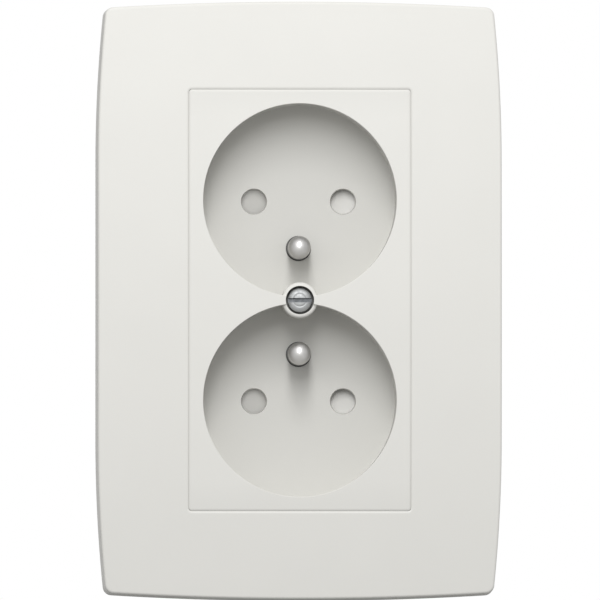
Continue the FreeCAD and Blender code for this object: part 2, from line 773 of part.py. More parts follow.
def make_shutter(name, rise):
    """Rotary shutter: two rounded vanes on a hub, each with a ramp for the plug pin to push."""
    body = new_body(name)
    thick = size("shutter_thick")
    vane_end = vane_radius
    add(body, "vanes", FRONT, as_length(0), thick, capsule(pin_side, vane_end))
    for vane, sign in (("left", -1), ("right", 1)):
        shallow = vane_end * -sign
        deep = vane_end * sign
        inner = pin_side - vane_end
        outer = pin_side + vane_end + OVERRUN
        low, high = (-outer, -inner) if sign < 0 else (inner, outer)
        wedge = path(
            [
                (-thick, shallow),
                (-thick + size("ramp_drop"), deep),
                (-thick - OVERRUN, deep),
            ]
        )
        cut(body, f"{vane}_ramp", SIDE, low, high, wedge)
        stop_rise = leg_offset - size("spring_wire") - size("stop_width") / 2
        stop = rectangle(
            size("stop_length"), size("stop_width"),
            across=size("stop_offset") * sign, up=stop_rise * -sign,
        )
        add(body, f"{vane}_stop", FRONT, -size("stop_tall"), as_length(0), stop)
    cut(
        body, "bore", FRONT, -OVERRUN, thick + OVERRUN,
        circle(size("pivot_radius") + size("pivot_gap")),
    )
    place(body, height=shutter_back, up=rise)
    keep(name, body)


def make_retainer(name, rise):
    """Push-on washer that holds the shutter on its pivot."""
    body = new_body(name)
    washer = together(circle(size("retainer_radius")), circle(size("pivot_radius")))
    add(body, "washer", FRONT, as_length(0), size("retainer_thick"), washer)
    place(body, height=retainer_back, up=rise)
    keep(name, body)


def level_heading(direction):
    """The same direction without its rise."""
    return FreeCAD.Vector(direction.x, direction.y, 0).normalize()


def make_shutter_spring(name, rise, turn):
    """Torsion spring: a short coil with a fixed leg to the peg and a moving leg to the shutter."""
    wire = size("spring_wire").value
    turns = size("spring_turns").value
    play = size("spring_play").value
    room = (shutter_back - retainer_front).value - 2 * wire - 2 * play
    coil = Part.makeHelix(room / turns, room, leg_offset.value)
    first = coil.Edges[0]
    last = coil.Edges[-1]
    start = first.valueAt(first.FirstParameter)
    end = last.valueAt(last.LastParameter)
    heading_in = level_heading(first.tangentAt(first.FirstParameter))
    heading_out = level_heading(last.tangentAt(last.LastParameter))
    fixed_end = start - heading_in * (size("peg_offset") + size("peg_radius")).value
    moving_end = end + heading_out * (size("stop_offset") + size("stop_length") / 2).value
    route = Part.Wire([Part.makeLine(fixed_end, start)] + coil.Edges + [Part.makeLine(end, moving_end)])
    section = Part.Wire(Part.makeCircle(wire, fixed_end, heading_in))
    spring = doc.addObject("Part::Feature", name)
    spring.Shape = route.makePipeShell([section], True, True)
    place(spring, height=retainer_front + wire + play, up=rise)
    upright = FreeCAD.Rotation(FreeCAD.Vector(1, 0, 0), 90)
    spring.Placement.Rotation = FreeCAD.Rotation(FreeCAD.Vector(0, 1, 0), turn) * upright
    keep(name, spring)


def turned(body, name, plane_profile):
    """Revolves a half profile of (radius, height) corners about the Y axis."""
    profile = body.newObject("Sketcher::SketchObject", name + "_outline")
    support = next(item for item in body.Origin.OriginFeatures if item.Role == LEVEL)
    profile.AttachmentSupport = [(support, "")]
    profile.MapMode = "FlatFace"
    plane_profile(profile)
    spin = body.newObject("PartDesign::Revolution", name)
    spin.Profile = profile
    axis = next(item for item in body.Origin.OriginFeatures if item.Role == "Y_Axis")
    spin.ReferenceAxis = (axis, [""])
    spin.Angle = 360
    return settle(body, spin)


def make_earth_pin(name, rise):
    """Turned pin with a domed tip, a thicker root, a collar on the bridge and a riveted tail."""
    body = new_body(name)
    radius = size("earth_pin_radius")
    tip = floor_front + size("earth_pin_reach")
    shoulder = tip - size("earth_dome_tall")
    step = floor_front + size("earth_root_rise")
    collar_top = size("earth_collar_tall")
    foot = -size("bridge_thick")
    tail_end = foot - size("tail_head_tall")
    dome_tall = size("earth_dome_tall")
    dome = (radius * radius + dome_tall * dome_tall) / (2 * dome_tall)
    turned(
        body, "turned",
        path(
            [
                (0, -tail_end),
                (0, -tip, dome),
                (radius, -shoulder),
                (radius, -step),
                (root_radius, -step),
                (root_radius, -collar_top),
                (size("earth_collar_radius"), -collar_top),
                (size("earth_collar_radius"), 0),
                (size("earth_tail_radius"), 0),
                (size("earth_tail_radius"), -foot),
                (size("tail_head_radius"), -foot),
                (size("tail_head_radius"), -tail_end),
            ]
        ),
    )
    place(body, up=rise)
    keep(name, body)


def make_slotted_screw(name, shank, head, head_tall, seat, end, across=0):
    """Pan-head screw with a driver slot; seat and end are heights."""
    body = new_body(name)
    top = seat + head_tall
    crown = (head * head + head_tall * head_tall / 4) / head_tall
    turned(
        body, "turned",
        path(
            [
                (0, -end),
                (0, -top, crown),
                (head, -(seat + head_tall / 2)),
                (head, -seat),
                (shank, -seat),
                (shank, -(end + shank)),
            ]
        ),
    )
    depth = size("screw_slot_depth")
    slot_outline = rectangle(head * 3, size("screw_slot_width"))
    cut(body, "slot", FRONT, top - depth, top + OVERRUN, slot_outline)
    place(body, across=across)
    keep(name, body)


def make_support_frame():
    """Punched steel frame with box-screw slots, bridge tongues and folded claw lugs."""
    body = new_body("support_frame")
    side = support_side
    add(body, "sheet", FRONT, as_length(0), support_thick, rectangle(side, side))
    finish_edges(
        body, "corners", "Fillet", size("support_corner"),
        lambda edge: edge.BoundBox.YLength > support_thick.value / 2,
    )
    opening_width = size("block_width") - 2 * size("block_seat")
    opening_tall = block_tall - 2 * size("block_end_seat")
    opening = rectangle(opening_width, opening_tall)
    cut(body, "opening", FRONT, -OVERRUN, support_thick + OVERRUN, opening)
    finish_edges(
        body, "opening_corners", "Fillet", size("opening_corner"),
        lambda edge: edge.BoundBox.YLength > support_thick.value / 2
        and near(abs(edge.CenterOfMass.x), opening_width / 2),
    )
    for name, sign in (("upper", 1), ("lower", -1)):
        inner = (bridge_rivet - size("rivet_head_radius") - size("tongue_margin")) * sign
        outer = (opening_tall / 2 + OVERRUN) * sign
        low, high = (inner, outer) if sign > 0 else (outer, inner)
        half = size("tongue_width") / 2
        add(
            body, f"{name}_tongue", FRONT, as_length(0), support_thick,
            box_outline(-half, half, low, high),
        )
    half_slot = size("box_slot_length") / 2 - size("box_slot_radius")
    half_box = size("box_spacing") / 2
    for name, across, up, upright in (
        ("right", half_box, as_length(0), False),
        ("left", -half_box, as_length(0), False),
        ("upper", as_length(0), half_box, True),
        ("lower", as_length(0), -half_box, True),
    ):
        slot = capsule(half_slot, size("box_slot_radius"), across, up, upright)
        cut(body, f"{name}_box_slot", FRONT, -OVERRUN, support_thick + OVERRUN, slot)
    screw_hole = size("claw_screw_radius") + size("claw_hole_gap")
    rivet = size("rivet_radius")
    holes = [
        circle(screw_hole, across=claw_screw_across),
        circle(screw_hole, across=-claw_screw_across),
        circle(rivet, up=bridge_rivet),
        circle(rivet, up=-bridge_rivet),
    ]
    for right, top in CORNERS:
        holes.append(circle(rivet, across=ear_offset * right, up=size("ear_rise") * top))
    cut(body, "holes", FRONT, -OVERRUN, support_thick + OVERRUN, together(*holes))
    lug_inner = size("claw_width") / 2 + size("claw_side_gap")
    lug_outer = lug_inner + support_thick
    for side_name, right in (("right", 1), ("left", -1)):
        for end_name, top in (("upper", 1), ("lower", -1)):
            low, high = (lug_inner, lug_outer) if top > 0 else (-lug_outer, -lug_inner)
            middle = claw_pivot_across * right
            half = size("lug_width") / 2
            lug = box_outline(middle - half, middle + half, -support_thick / 2, size("lug_depth"))
            add(body, f"{side_name}_{end_name}_lug", LEVEL, low, high, lug)
        bore = circle(
            size("claw_pivot_radius"),
            across=claw_pivot_across * right, up=size("claw_pivot_depth"),
        )
        cut(body, f"{side_name}_pivot_bore", LEVEL, -lug_outer - OVERRUN, lug_outer + OVERRUN, bore)
    keep("support_frame", body)


def block_outline(inset=0):
    """Outline of the contact block: flat sides and ends joined by arcs that fit the round box."""
    half_width = size("block_width") / 2 - inset
    half_tall = block_tall / 2 - inset
    radius = block_radius - inset
    side_rise = root(radius * radius - half_width * half_width)
    end_reach = root(radius * radius - half_tall * half_tall)
    return path(
        [
            (half_width, -side_rise),
            (half_width, side_rise, radius),
            (end_reach, half_tall),
            (-end_reach, half_tall, radius),
            (-half_width, side_rise),
            (-half_width, -side_rise, radius),
            (-end_reach, -half_tall),
            (end_reach, -half_tall, radius),
        ]
    )


def make_contact_base():
    """Front half of the contact block, with the chambers that hold the contacts."""
    body = new_body("contact_base")
    entry_radius = size("pin_hole_radius") + size("entry_step")
    add(body, "block", FRONT, block_back, as_length(0), block_outline())
    half_ear = size("ear_radius")
    ear_root = size("block_width") / 2 - OVERRUN
    for right, top in CORNERS:
        name = f"{'right' if right > 0 else 'left'}_{'upper' if top > 0 else 'lower'}"
        left_side, right_side = (ear_root, ear_offset) if right > 0 else (-ear_offset, -ear_root)
        centre = size("ear_rise") * top
        add(
            body, f"{name}_ear", FRONT, -size("ear_thick"), as_length(0),
            box_outline(left_side, right_side, centre - half_ear, centre + half_ear),
        )
        add(
            body, f"{name}_ear_end", FRONT, -size("ear_thick"), as_length(0),
            circle(half_ear, across=ear_offset * right, up=centre),
        )
        cut(
            body, f"{name}_ear_hole", FRONT, -size("ear_thick") - OVERRUN, OVERRUN,
            circle(size("rivet_radius"), across=ear_offset * right, up=centre),
        )
    pocket_inner = pin_side + chamber_width / 2 + size("pocket_wall")
    pocket_outer = size("block_width") / 2 - size("pocket_wall")
    for name, right in (("left", -1), ("right", 1)):
        across = pin_side * right
        cut(
            body, f"{name}_chamber", FRONT, block_back, -size("block_front"),
            rectangle(chamber_width, chamber_tall, across=across),
        )
        entries = together(
            circle(entry_radius, across=across, up=well_rise),
            circle(entry_radius, across=across, up=-well_rise),
        )
        cut(body, f"{name}_entries", FRONT, -size("block_front") - OVERRUN, OVERRUN, entries)
        cut(
            body, f"{name}_side_pocket", FRONT, block_back, -size("block_front"),
            rectangle(
                pocket_outer - pocket_inner, size("side_pocket_tall"),
                across=(pocket_inner + pocket_outer) / 2 * right,
            ),
        )
    recess = rectangle(
        size("bridge_width") + 2 * size("bridge_gap"), block_tall + 2 * OVERRUN
    )
    cut(body, "bridge_recess", FRONT, -size("bridge_thick"), OVERRUN, recess)
    middle_width = 2 * (tab_inset + size("bar_thick") + size("middle_side_gap"))
    middle_tall = size("tab_width") + 2 * size("middle_end_gap")
    cut(
        body, "middle_chamber", FRONT, block_back, -size("bridge_thick") / 2,
        rectangle(middle_width, middle_tall),
    )
    tail_room = -size("bridge_thick") - size("tail_head_tall") - size("tail_gap")
    tails = [
        circle(size("tail_head_radius") + size("tail_gap"), up=earth_rise),
        circle(size("tail_head_radius") + size("tail_gap"), up=-earth_rise),
        circle(size("rivet_tail_radius") + size("tail_gap"), up=bridge_rivet),
        circle(size("rivet_tail_radius") + size("tail_gap"), up=-bridge_rivet),
    ]
    cut(body, "tail_pockets", FRONT, tail_room, OVERRUN, together(*tails))
    screws = [
        circle(
            size("case_screw_radius"),
            across=case_screw_across * right, up=case_screw_up * top,
        )
        for right, top in CORNERS
    ]
    cut(body, "screw_bores", FRONT, block_back, -size("case_screw_end"), together(*screws))
    keep("contact_base", body)


def terminal_centres():
    pitch = size("terminal_pitch")
    return {"line": -pitch, "earth": as_length(0), "neutral": pitch}


def make_rear_cover():
    """Rear half of the contact block, with wire entries and windows for the release buttons."""
    body = new_body("rear_cover")
    add(body, "block", FRONT, case_back, block_back, block_outline())
    finish_edges(
        body, "back_edge", "Chamfer", size("rear_edge"),
        lambda edge: near(height_span(edge)[1], case_back),
    )
    inner_back = case_back + size("rear_wall")
    for name, across in terminal_centres().items():
        cut(
            body, f"{name}_chamber", FRONT, inner_back, block_back,
            rectangle(terminal_width, terminal_tall, across=across),
        )
        openings = together(
            circle(size("wire_hole_radius"), across=across, up=size("entry_rise")),
            circle(size("wire_hole_radius"), across=across, up=-size("entry_rise")),
            rectangle(
                size("button_width") + 2 * size("button_gap"),
                size("button_tall") + 2 * size("button_gap"),
                across=across + size("button_shift"),
            ),
        )
        cut(body, f"{name}_entries", FRONT, case_back - OVERRUN, inner_back + OVERRUN, openings)
    for name, sign in (("upper", 1), ("lower", -1)):
        inner = (terminal_tall / 2 + size("rear_wall")) * sign
        outer = (block_tall / 2 - size("rear_wall")) * sign
        low, high = (inner, outer) if sign > 0 else (outer, inner)
        half = pin_side + size("rib_wall")
        cut(
            body, f"{name}_hollow", FRONT, inner_back, block_back,
            box_outline(-half, half, low, high),
        )
    shanks = []
    heads = []
    for right, top in CORNERS:
        across = case_screw_across * right
        up = case_screw_up * top
        shanks.append(circle(size("case_screw_radius"), across=across, up=up))
        heads.append(circle(size("case_head_radius"), across=across, up=up))
    cut(body, "screw_bores", FRONT, case_back - OVERRUN, block_back, together(*shanks))
    cut(
        body, "screw_seats", FRONT, case_back - OVERRUN, case_back + size("case_head_tall"),
        together(*heads),
    )
    keep("rear_cover", body)


def make_earth_bridge():
    """Strip that carries both earth pins, takes the central screw and earths the frame."""
    body = new_body("earth_bridge")
    half = size("bridge_width") / 2
    reach = bridge_reach
    add(
        body, "strip", FRONT, -size("bridge_thick"), as_length(0),
        box_outline(-half, half, -reach, reach),
    )
    holes = together(
        circle(size("screw_radius")),
        circle(size("earth_tail_radius"), up=earth_rise),
        circle(size("earth_tail_radius"), up=-earth_rise),
        circle(size("rivet_radius"), up=bridge_rivet),
        circle(size("rivet_radius"), up=-bridge_rivet),
    )
    cut(body, "holes", FRONT, -size("bridge_thick") - OVERRUN, OVERRUN, holes)
    keep("earth_bridge", body)


def tab_faces(across):
    """The two faces of a terminal tab, beside the wire's axis."""
    return across - tab_inset - size("bar_thick"), across - tab_inset


def make_contact_strip(name, across):
    """Brass bar with a two-leaf clip at each end and a terminal tab at the middle."""
    body = new_body(name)
    back = size("bar_height")
    front = back + size("bar_thick")
    half_gap = size("clip_gap") / 2
    add(
        body, "bar", FRONT, back, front,
        box_outline(across - bar_side, across + bar_side, -bar_end, bar_end),
    )
    flare_start = size("leaf_height") - size("leaf_flare_tall")
    for clip, rise in (("upper", well_rise), ("lower", -well_rise)):
        for side, sign in (("left", -1), ("right", 1)):
            inner = across + half_gap * sign
            outer = across + bar_side * sign
            lean = size("leaf_flare") * sign
            profile = path(
                [
                    (inner, -back),
                    (outer, -back),
                    (outer, -flare_start),
                    (outer + lean, -size("leaf_height")),
                    (inner + lean, -size("leaf_height")),
                    (inner, -flare_start),
                ]
            )
            add(
                body, f"{clip}_{side}_leaf", LEVEL, rise - size("leaf_width") / 2,
                rise + size("leaf_width") / 2, profile,
            )
    low, high = tab_faces(across)
    half_tab = size("tab_width") / 2
    add(
        body, "tab", FRONT, size("tab_height"), front,
        box_outline(low, high, -half_tab, half_tab),
    )
    keep(name, body)


def make_earth_terminal():
    """Brass tab that leads from the bridge down to the earth terminal."""
    body = new_body("earth_terminal")
    low, high = tab_faces(as_length(0))
    half_tab = size("tab_width") / 2
    half_leg = size("bridge_width") / 2
    shoulder = -size("bar_height") + size("bar_thick")
    leg = path(
        [
            (size("bridge_thick"), -half_leg),
            (shoulder, -half_leg),
            (shoulder, -half_tab),
            (-size("tab_height"), -half_tab),
            (-size("tab_height"), half_tab),
            (shoulder, half_tab),
            (shoulder, half_leg),
            (size("bridge_thick"), half_leg),
        ]
    )
    add(body, "tab", SIDE, low, high, leg)
    keep("earth_terminal", body)


def make_clasp(name, across, sign):
    """Steel spring that grips the two leaves of one clip from outside."""
    body = new_body(name)
    inner = bar_side
    outer = inner + size("clasp_thick")
    back = (well_rise - size("leaf_width") / 2 - size("clasp_thick")) * sign
    turn = (well_rise - size("leaf_width") / 2) * sign
    end = (well_rise + size("leaf_width") / 4) * sign
    corners = [
        (across - outer, back),
        (across + outer, back),
        (across + outer, end),
        (across + inner, end),
        (across + inner, turn),
        (across - inner, turn),
        (across - inner, end),
        (across - outer, end),
    ]
    low = size("clasp_height")
    add(body, "grip", FRONT, low, low + size("clasp_tall"), path(corners))
    keep(name, body)


def make_terminal_spring(name, across):
    """Folded leaf that presses both wires of a terminal against its tab."""
    body = new_body(name)
    thick = size("sheet_spring")
    wall = across + terminal_width / 2 - size("spring_wall_gap")
    front = -block_back + size("spring_front_gap")
    bend = -size("tab_height") - size("spring_bend_gap")
    corner = wall - size("spring_bend_width")
    tip = front + size("spring_tip_rise")
    contact = across - tab_inset + size("spring_tip_gap")
    lean = corner - contact
    fall = bend - tip
    slant = root(lean * lean + fall * fall)
    inward = thick * fall / slant
    forward = thick * lean / slant
    fold = path(
        [
            (wall - thick, front),
            (wall, front),
            (wall, bend),
            (corner, bend),
            (contact, tip),
            (contact + inward, tip - forward),
            (corner + inward, bend - forward),
            (wall - thick, bend - thick),
        ]
    )
    half = size("tab_width") / 2
    add(body, "leaf", LEVEL, -half, half, fold)
    keep(name, body)


def make_release_button(name, across):
    """Push button behind the rear cover that lifts the terminal spring."""
    body = new_body(name)
    inner_back = case_back + size("rear_wall")
    middle = across + size("button_shift")
    add(
        body, "stem", FRONT, case_back - size("button_proud"), inner_back + size("button_stem"),
        rectangle(size("button_width"), size("button_tall"), across=middle),
    )
    flange_back = inner_back + size("button_flange_gap")
    add(
        body, "flange", FRONT, flange_back, flange_back + size("button_flange"),
        rectangle(
            size("button_width") + 2 * size("button_flange"), size("button_tall"), across=middle
        ),
    )
    finish_edges(
        body, "back_edge", "Fillet", size("button_edge"),
        lambda edge: near(height_span(edge)[1], case_back - size("button_proud")),
    )
    keep(name, body)


def make_group(name, makers):
    """Several separate solids of one kind in one node."""
    group = doc.addObject("Part::Compound", name)
    group.Links = makers
    keep(name, group)


def rivet_solid(name, grip_low, grip_high, across, up):
    """Rivet with its head in front of the sheet and its closed end behind it."""
    body = new_body(name)
    head = size("rivet_head_tall")
    head_top = grip_high + head
    bevel = size("rivet_bevel")
    turned(
        body, "turned",
        path(
            [
                (0, -(grip_low - head)),
                (0, -head_top),
                (size("rivet_head_radius") - bevel, -head_top),
                (size("rivet_head_radius"), -(head_top - bevel)),
                (size("rivet_head_radius"), -grip_high),
                (size("rivet_radius"), -grip_high),
                (size("rivet_radius"), -grip_low),
                (size("rivet_tail_radius"), -grip_low),
                (size("rivet_tail_radius"), -(grip_low - head)),
            ]
        ),
    )
    return place(body, across=across, up=up)


def make_rivets():
    ears = [
        rivet_solid(
            f"ear_rivet_{number}", -size("ear_thick"), support_thick,
            ear_offset * right, size("ear_rise") * top,
        )
        for number, (right, top) in enumerate(CORNERS, start=1)
    ]
    make_group("frame_rivets", ears)
    bridge = [
        rivet_solid(
            f"strip_rivet_{number}", -size("bridge_thick"), support_thick,
            as_length(0), bridge_rivet * top,
        )
        for number, top in enumerate((1, -1), start=1)
    ]
    make_group("bridge_rivets", bridge)


def make_case_screws():
    screws = []
    seat = case_back + size("case_head_tall")
    head_back = case_back + size("case_head_sink")
    shank = size("case_screw_radius")
    for number, (right, top) in enumerate(CORNERS, start=1):
        body = new_body(f"case_screw_{number}")
        turned(
            body, "turned",
            path(
                [
                    (0, -head_back),
                    (0, size("case_screw_end")),
                    (shank / 2, size("case_screw_end")),
                    (shank, size("case_screw_end") + shank),
                    (shank, -seat),
                    (size("case_head_radius"), -seat),
                    (size("case_head_radius"), -head_back),
                ]
            ),
        )
        slot = rectangle(size("case_head_radius") * 3, size("case_slot_width"))
        slot_end = head_back + size("case_slot_depth")
        cut(body, "slot", FRONT, case_back - OVERRUN, slot_end, slot)
        screws.append(
            place(body, across=case_screw_across * right, up=case_screw_up * top)
        )
    make_group("case_screws", screws)


def make_claw(name, right):
    """Folded claw: a toothed outer wall and two cheeks whose sloping edges ride on the nut."""
    body = new_body(name)
    outside = (claw_pivot_across + size("claw_sheet") / 2) * right
    inside = outside - size("claw_sheet") * right
    tooth = outside + size("claw_tooth") * right
    start = size("claw_start")
    end = size("claw_end")
    nut_edge = (claw_screw_across + size("nut_width") / 2 + size("claw_nut_gap")) * right
    cheek_front = (claw_screw_across + size("cheek_reach")) * right
    nut_front = -size("nut_height") - size("nut_thick")
    slope_end = nut_front - size("cheek_slope")
    tooth_root = outside + size("tooth_root") * right
    corners = [(outside, start), (outside, end - 2 * size("tooth_pitch"))]
    for tooth_start in (end - 2 * size("tooth_pitch"), end - size("tooth_pitch")):
        corners.append((tooth, tooth_start + size("tooth_flank")))
        corners.append((tooth_root, tooth_start + size("tooth_pitch")))
    corners += [
        (nut_edge, end),
        (nut_edge, nut_front),
        (cheek_front, slope_end),
        (cheek_front, slope_end - size("cheek_land")),
        (inside - size("cheek_neck") * right, start),
    ]
    if right > 0:
        corners.reverse()
    half = size("claw_width") / 2
    add(body, "outline", LEVEL, -half, half, path(corners))
    inner_half = half - size("claw_sheet")
    far = (claw_screw_across - size("channel_reach")) * right
    low, high = (far, inside) if right > 0 else (inside, far)
    cut(
        body, "channel", LEVEL, -inner_half, inner_half,
        box_outline(low, high, as_length(0), end + OVERRUN),
    )
    bore = circle(
        size("claw_pivot_radius") + size("claw_pivot_gap"),
        across=claw_pivot_across * right, up=size("claw_pivot_depth"),
    )
    cut(body, "pivot_bore", LEVEL, -half - OVERRUN, half + OVERRUN, bore)
    keep(name, body)


def make_claw_nut(name, right):
    """Threaded bar nut that the claw screw draws forward under the claw."""
    body = new_body(name)
    across = claw_screw_across * right
    outline = together(
        rectangle(size("nut_width"), size("nut_tall"), across=across),
        circle(size("claw_screw_radius") + size("thread_gap"), across=across),
    )
    add(body, "bar", FRONT, size("nut_height"), size("nut_height") + size("nut_thick"), outline)
    keep(name, body)


def make_claw_pivot(name, right):
    """Pin through both lugs and the claw's cheeks."""
    body = new_body(name)
    reach = size("claw_width") / 2 + size("claw_side_gap") + support_thick
    reach = reach + size("claw_pivot_proud")
    pin = circle(
        size("claw_pivot_radius"),
        across=claw_pivot_across * right, up=size("claw_pivot_depth"),
    )
    add(body, "pin", LEVEL, -reach, reach, pin)
    keep(name, body)


make_cover_frame()
make_socket_cover()
make_slotted_screw(
    "centre_screw", size("screw_radius"), size("screw_head_radius"), size("screw_head_tall"),
    head_seat, -size("screw_end"),
)
for level, rise, turn in (("upper", well_rise, 180), ("lower", -well_rise, 0)):
    make_shutter(f"shutter_{level}", rise)
    make_shutter_spring(f"shutter_spring_{level}", rise, turn)
    make_retainer(f"shutter_retainer_{level}", rise)
make_support_frame()
make_contact_base()
make_rear_cover()
make_earth_bridge()
make_earth_pin("earth_pin_upper", earth_rise)
make_earth_pin("earth_pin_lower", -earth_rise)
make_contact_strip("line_contact_strip", -pin_side)
make_contact_strip("neutral_contact_strip", pin_side)
for pole, across in (("line", -pin_side), ("neutral", pin_side)):
    make_clasp(f"clip_spring_{pole}_upper", across, 1)
    make_clasp(f"clip_spring_{pole}_lower", across, -1)
make_earth_terminal()
for pole, across in terminal_centres().items():
    make_terminal_spring(f"terminal_spring_{pole}", across)
    make_release_button(f"release_button_{pole}", across)
make_rivets()
make_case_screws()
for side, right in (("left", -1), ("right", 1)):
    make_claw(f"claw_{side}", right)
    make_claw_nut(f"claw_nut_{side}", right)
    make_claw_pivot(f"claw_pivot_{side}", right)
    make_slotted_screw(
        f"claw_screw_{side}", size("claw_screw_radius"), size("claw_head_radius"),
        size("claw_head_tall"), support_thick, -size("claw_screw_end"),
        across=claw_screw_across * right,
    )

doc.recompute()
for thing in doc.Objects:
    if "Invalid" in thing.State or "Error" in thing.State:
        raise RuntimeError(f"{thing.Name} failed: {thing.State}")
for name, thing in pieces.items():
    if thing.Shape.isNull() or not thing.Shape.isValid():
        raise RuntimeError(f"{name} has no valid shape")
    thing.Shape.exportStep(f"parts/{name}.step")
    print(name, len(thing.Shape.Solids), round(thing.Shape.Volume, 2))
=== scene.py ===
# %% [markdown]
# # A double wall socket
#
# This notebook dresses a double earthed wall socket. The measured solids come from the packed
# model, and they stay where they are. The two white mouldings, the earth pins and the central
# screw fill most of the picture, so they get finer surfaces of the same shape. All the other
# pieces keep their solids and get a finish.

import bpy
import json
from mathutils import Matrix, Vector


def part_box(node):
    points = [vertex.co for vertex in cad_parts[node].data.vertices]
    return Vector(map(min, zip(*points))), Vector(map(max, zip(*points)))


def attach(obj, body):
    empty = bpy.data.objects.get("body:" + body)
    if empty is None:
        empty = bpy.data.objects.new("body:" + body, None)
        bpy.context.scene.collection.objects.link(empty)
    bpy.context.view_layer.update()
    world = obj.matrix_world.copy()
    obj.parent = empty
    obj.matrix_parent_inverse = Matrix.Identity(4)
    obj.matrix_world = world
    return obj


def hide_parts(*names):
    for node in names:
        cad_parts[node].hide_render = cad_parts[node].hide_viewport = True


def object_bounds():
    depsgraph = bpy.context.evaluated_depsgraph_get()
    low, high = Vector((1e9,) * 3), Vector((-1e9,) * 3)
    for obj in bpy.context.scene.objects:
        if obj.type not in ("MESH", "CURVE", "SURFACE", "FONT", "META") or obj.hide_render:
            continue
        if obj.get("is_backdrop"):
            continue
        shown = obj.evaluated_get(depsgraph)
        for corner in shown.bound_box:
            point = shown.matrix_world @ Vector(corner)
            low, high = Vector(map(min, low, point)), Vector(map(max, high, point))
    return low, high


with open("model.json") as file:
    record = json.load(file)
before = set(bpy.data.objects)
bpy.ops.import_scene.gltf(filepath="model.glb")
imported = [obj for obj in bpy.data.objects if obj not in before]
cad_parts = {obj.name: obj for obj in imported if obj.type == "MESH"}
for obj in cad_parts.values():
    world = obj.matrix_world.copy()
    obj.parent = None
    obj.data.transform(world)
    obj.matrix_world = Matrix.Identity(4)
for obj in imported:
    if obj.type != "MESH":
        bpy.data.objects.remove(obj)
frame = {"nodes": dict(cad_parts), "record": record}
cad_low, cad_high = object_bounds()
print("pieces loaded:", len(frame["nodes"]))
print("box in mm:", [round(side * 1000, 1) for side in cad_high - cad_low])

# %% [markdown]
# ## Sheets of points
#
# Each fine piece is a sheet of points, laid out in rows and columns like cloth. A profile carried
# round an outline gives such a sheet, and numpy works all the points out at once. Sizes are in
# millimetres, because that is how a moulding is measured. A point is written as a distance to the
# right, a height in front of the wall, and a distance up.

# %% Turn a sheet of points into quads
import math

import bmesh
import bpy
import numpy as np
from mathutils import Vector

MILLIMETRE = 0.001


def sheet_quads(rows, columns):
    """Quads of a sheet whose last column joins its first. Corner (r, c) is point
    r * columns + c."""
    row = np.arange(rows - 1)[:, None]
    column = np.arange(columns)[None, :]
    after = (column + 1) % columns
    low, high = row * columns, (row + 1) * columns
    corners = np.broadcast_arrays(low + column, low + after, high + after, high + column)
    return np.stack(corners, axis=-1)


def stack_rows(rows):
    """Stacks rows of points, each a tuple of across, height and up, into one array."""
    return np.stack([np.stack(np.broadcast_arrays(*row), axis=-1) for row in rows])


print("quads of a 3 by 8 sheet:", sheet_quads(3, 8).reshape(-1, 4).shape[0])

# %% [markdown]
# ## From sheets to a solid mesh
#
# Several sheets make one closed shell. Where two sheets meet they share points, so doubles are
# merged, and then every face is turned outwards. A moulding is smooth apart from its real edges,
# so faces are shaded smooth and an edge is kept sharp only where it turns by more than 33
# degrees. In a closed shell every edge lies between exactly two faces, so the edges that don't
# are counted and printed.

# %% Close, turn and shade a mesh
SHARP_TURN = math.radians(33)


def shade_moulding(mesh):
    """Shades every face smooth and keeps the edges sharp that turn by more than SHARP_TURN."""
    mesh.shade_smooth()
    mesh.set_sharp_from_angle(angle=SHARP_TURN)


def open_edges(mesh):
    """How many edges don't lie between exactly two faces."""
    edge_of = np.empty(len(mesh.loops), np.int32)
    mesh.loops.foreach_get("edge_index", edge_of)
    return int((np.bincount(edge_of, minlength=len(mesh.edges)) != 2).sum())


def close_shell(mesh):
    """Merges doubles, drops flat faces and turns every face outwards."""
    shell = bmesh.new()
    shell.from_mesh(mesh)
    bmesh.ops.remove_doubles(shell, verts=shell.verts, dist=1.5e-6)
    bmesh.ops.dissolve_degenerate(shell, edges=shell.edges, dist=1e-7)
    bmesh.ops.recalc_face_normals(shell, faces=shell.faces)
    shell.to_mesh(mesh)
    shell.free()


def solid_piece(name, shells):
    """Makes an object from pairs of points and a list of face blocks. A block has one face in
    each row, given by the numbers of its corners."""
    points = [np.reshape(sheet, (-1, 3)) for sheet, _ in shells]
    starts = np.cumsum([0] + [len(part) for part in points])
    faces = []
    for start, (_, blocks) in zip(starts, shells):
        for block in blocks:
            faces.extend((np.reshape(block, (-1, np.shape(block)[-1])) + start).tolist())
    across, height, up = np.concatenate(points).T * MILLIMETRE
    mesh = bpy.data.meshes.new(name)
    mesh.from_pydata(np.stack([across, -height, up], axis=1).tolist(), [], faces)
    close_shell(mesh)
    shade_moulding(mesh)
    piece = bpy.data.objects.new(name, mesh)
    bpy.context.scene.collection.objects.link(piece)
    print(f"{name}: {len(mesh.polygons)} faces, {open_edges(mesh)} open edges")
    return piece


# %% [markdown]
# ## Joining and cutting
#
# The mould's cores leave holes and pockets. A Boolean modifier cuts them as the core would, and
# it is applied at once, so that the finished mesh stands by itself.

# %% Join or cut with another solid
def carve(piece, tool, operation):
    """Applies a Boolean with the tool, which is then removed."""
    step = piece.modifiers.new(operation.lower(), "BOOLEAN")
    step.operation = operation
    step.solver = "EXACT"
    step.object = tool
    layers = bpy.context.evaluated_depsgraph_get()
    carved = bpy.data.meshes.new_from_object(piece.evaluated_get(layers))
    piece.modifiers.clear()
    piece.data = carved
    bpy.data.objects.remove(tool)
    shade_moulding(carved)
    print(f"{piece.name} after {operation.lower()}: {open_edges(carved)} open edges")


# %% [markdown]
# ## Turned shapes
#
# Pins, screws, bosses and round holes are all turned shapes: a half profile carried once round an
# axis. The same function makes the cutters for the holes.

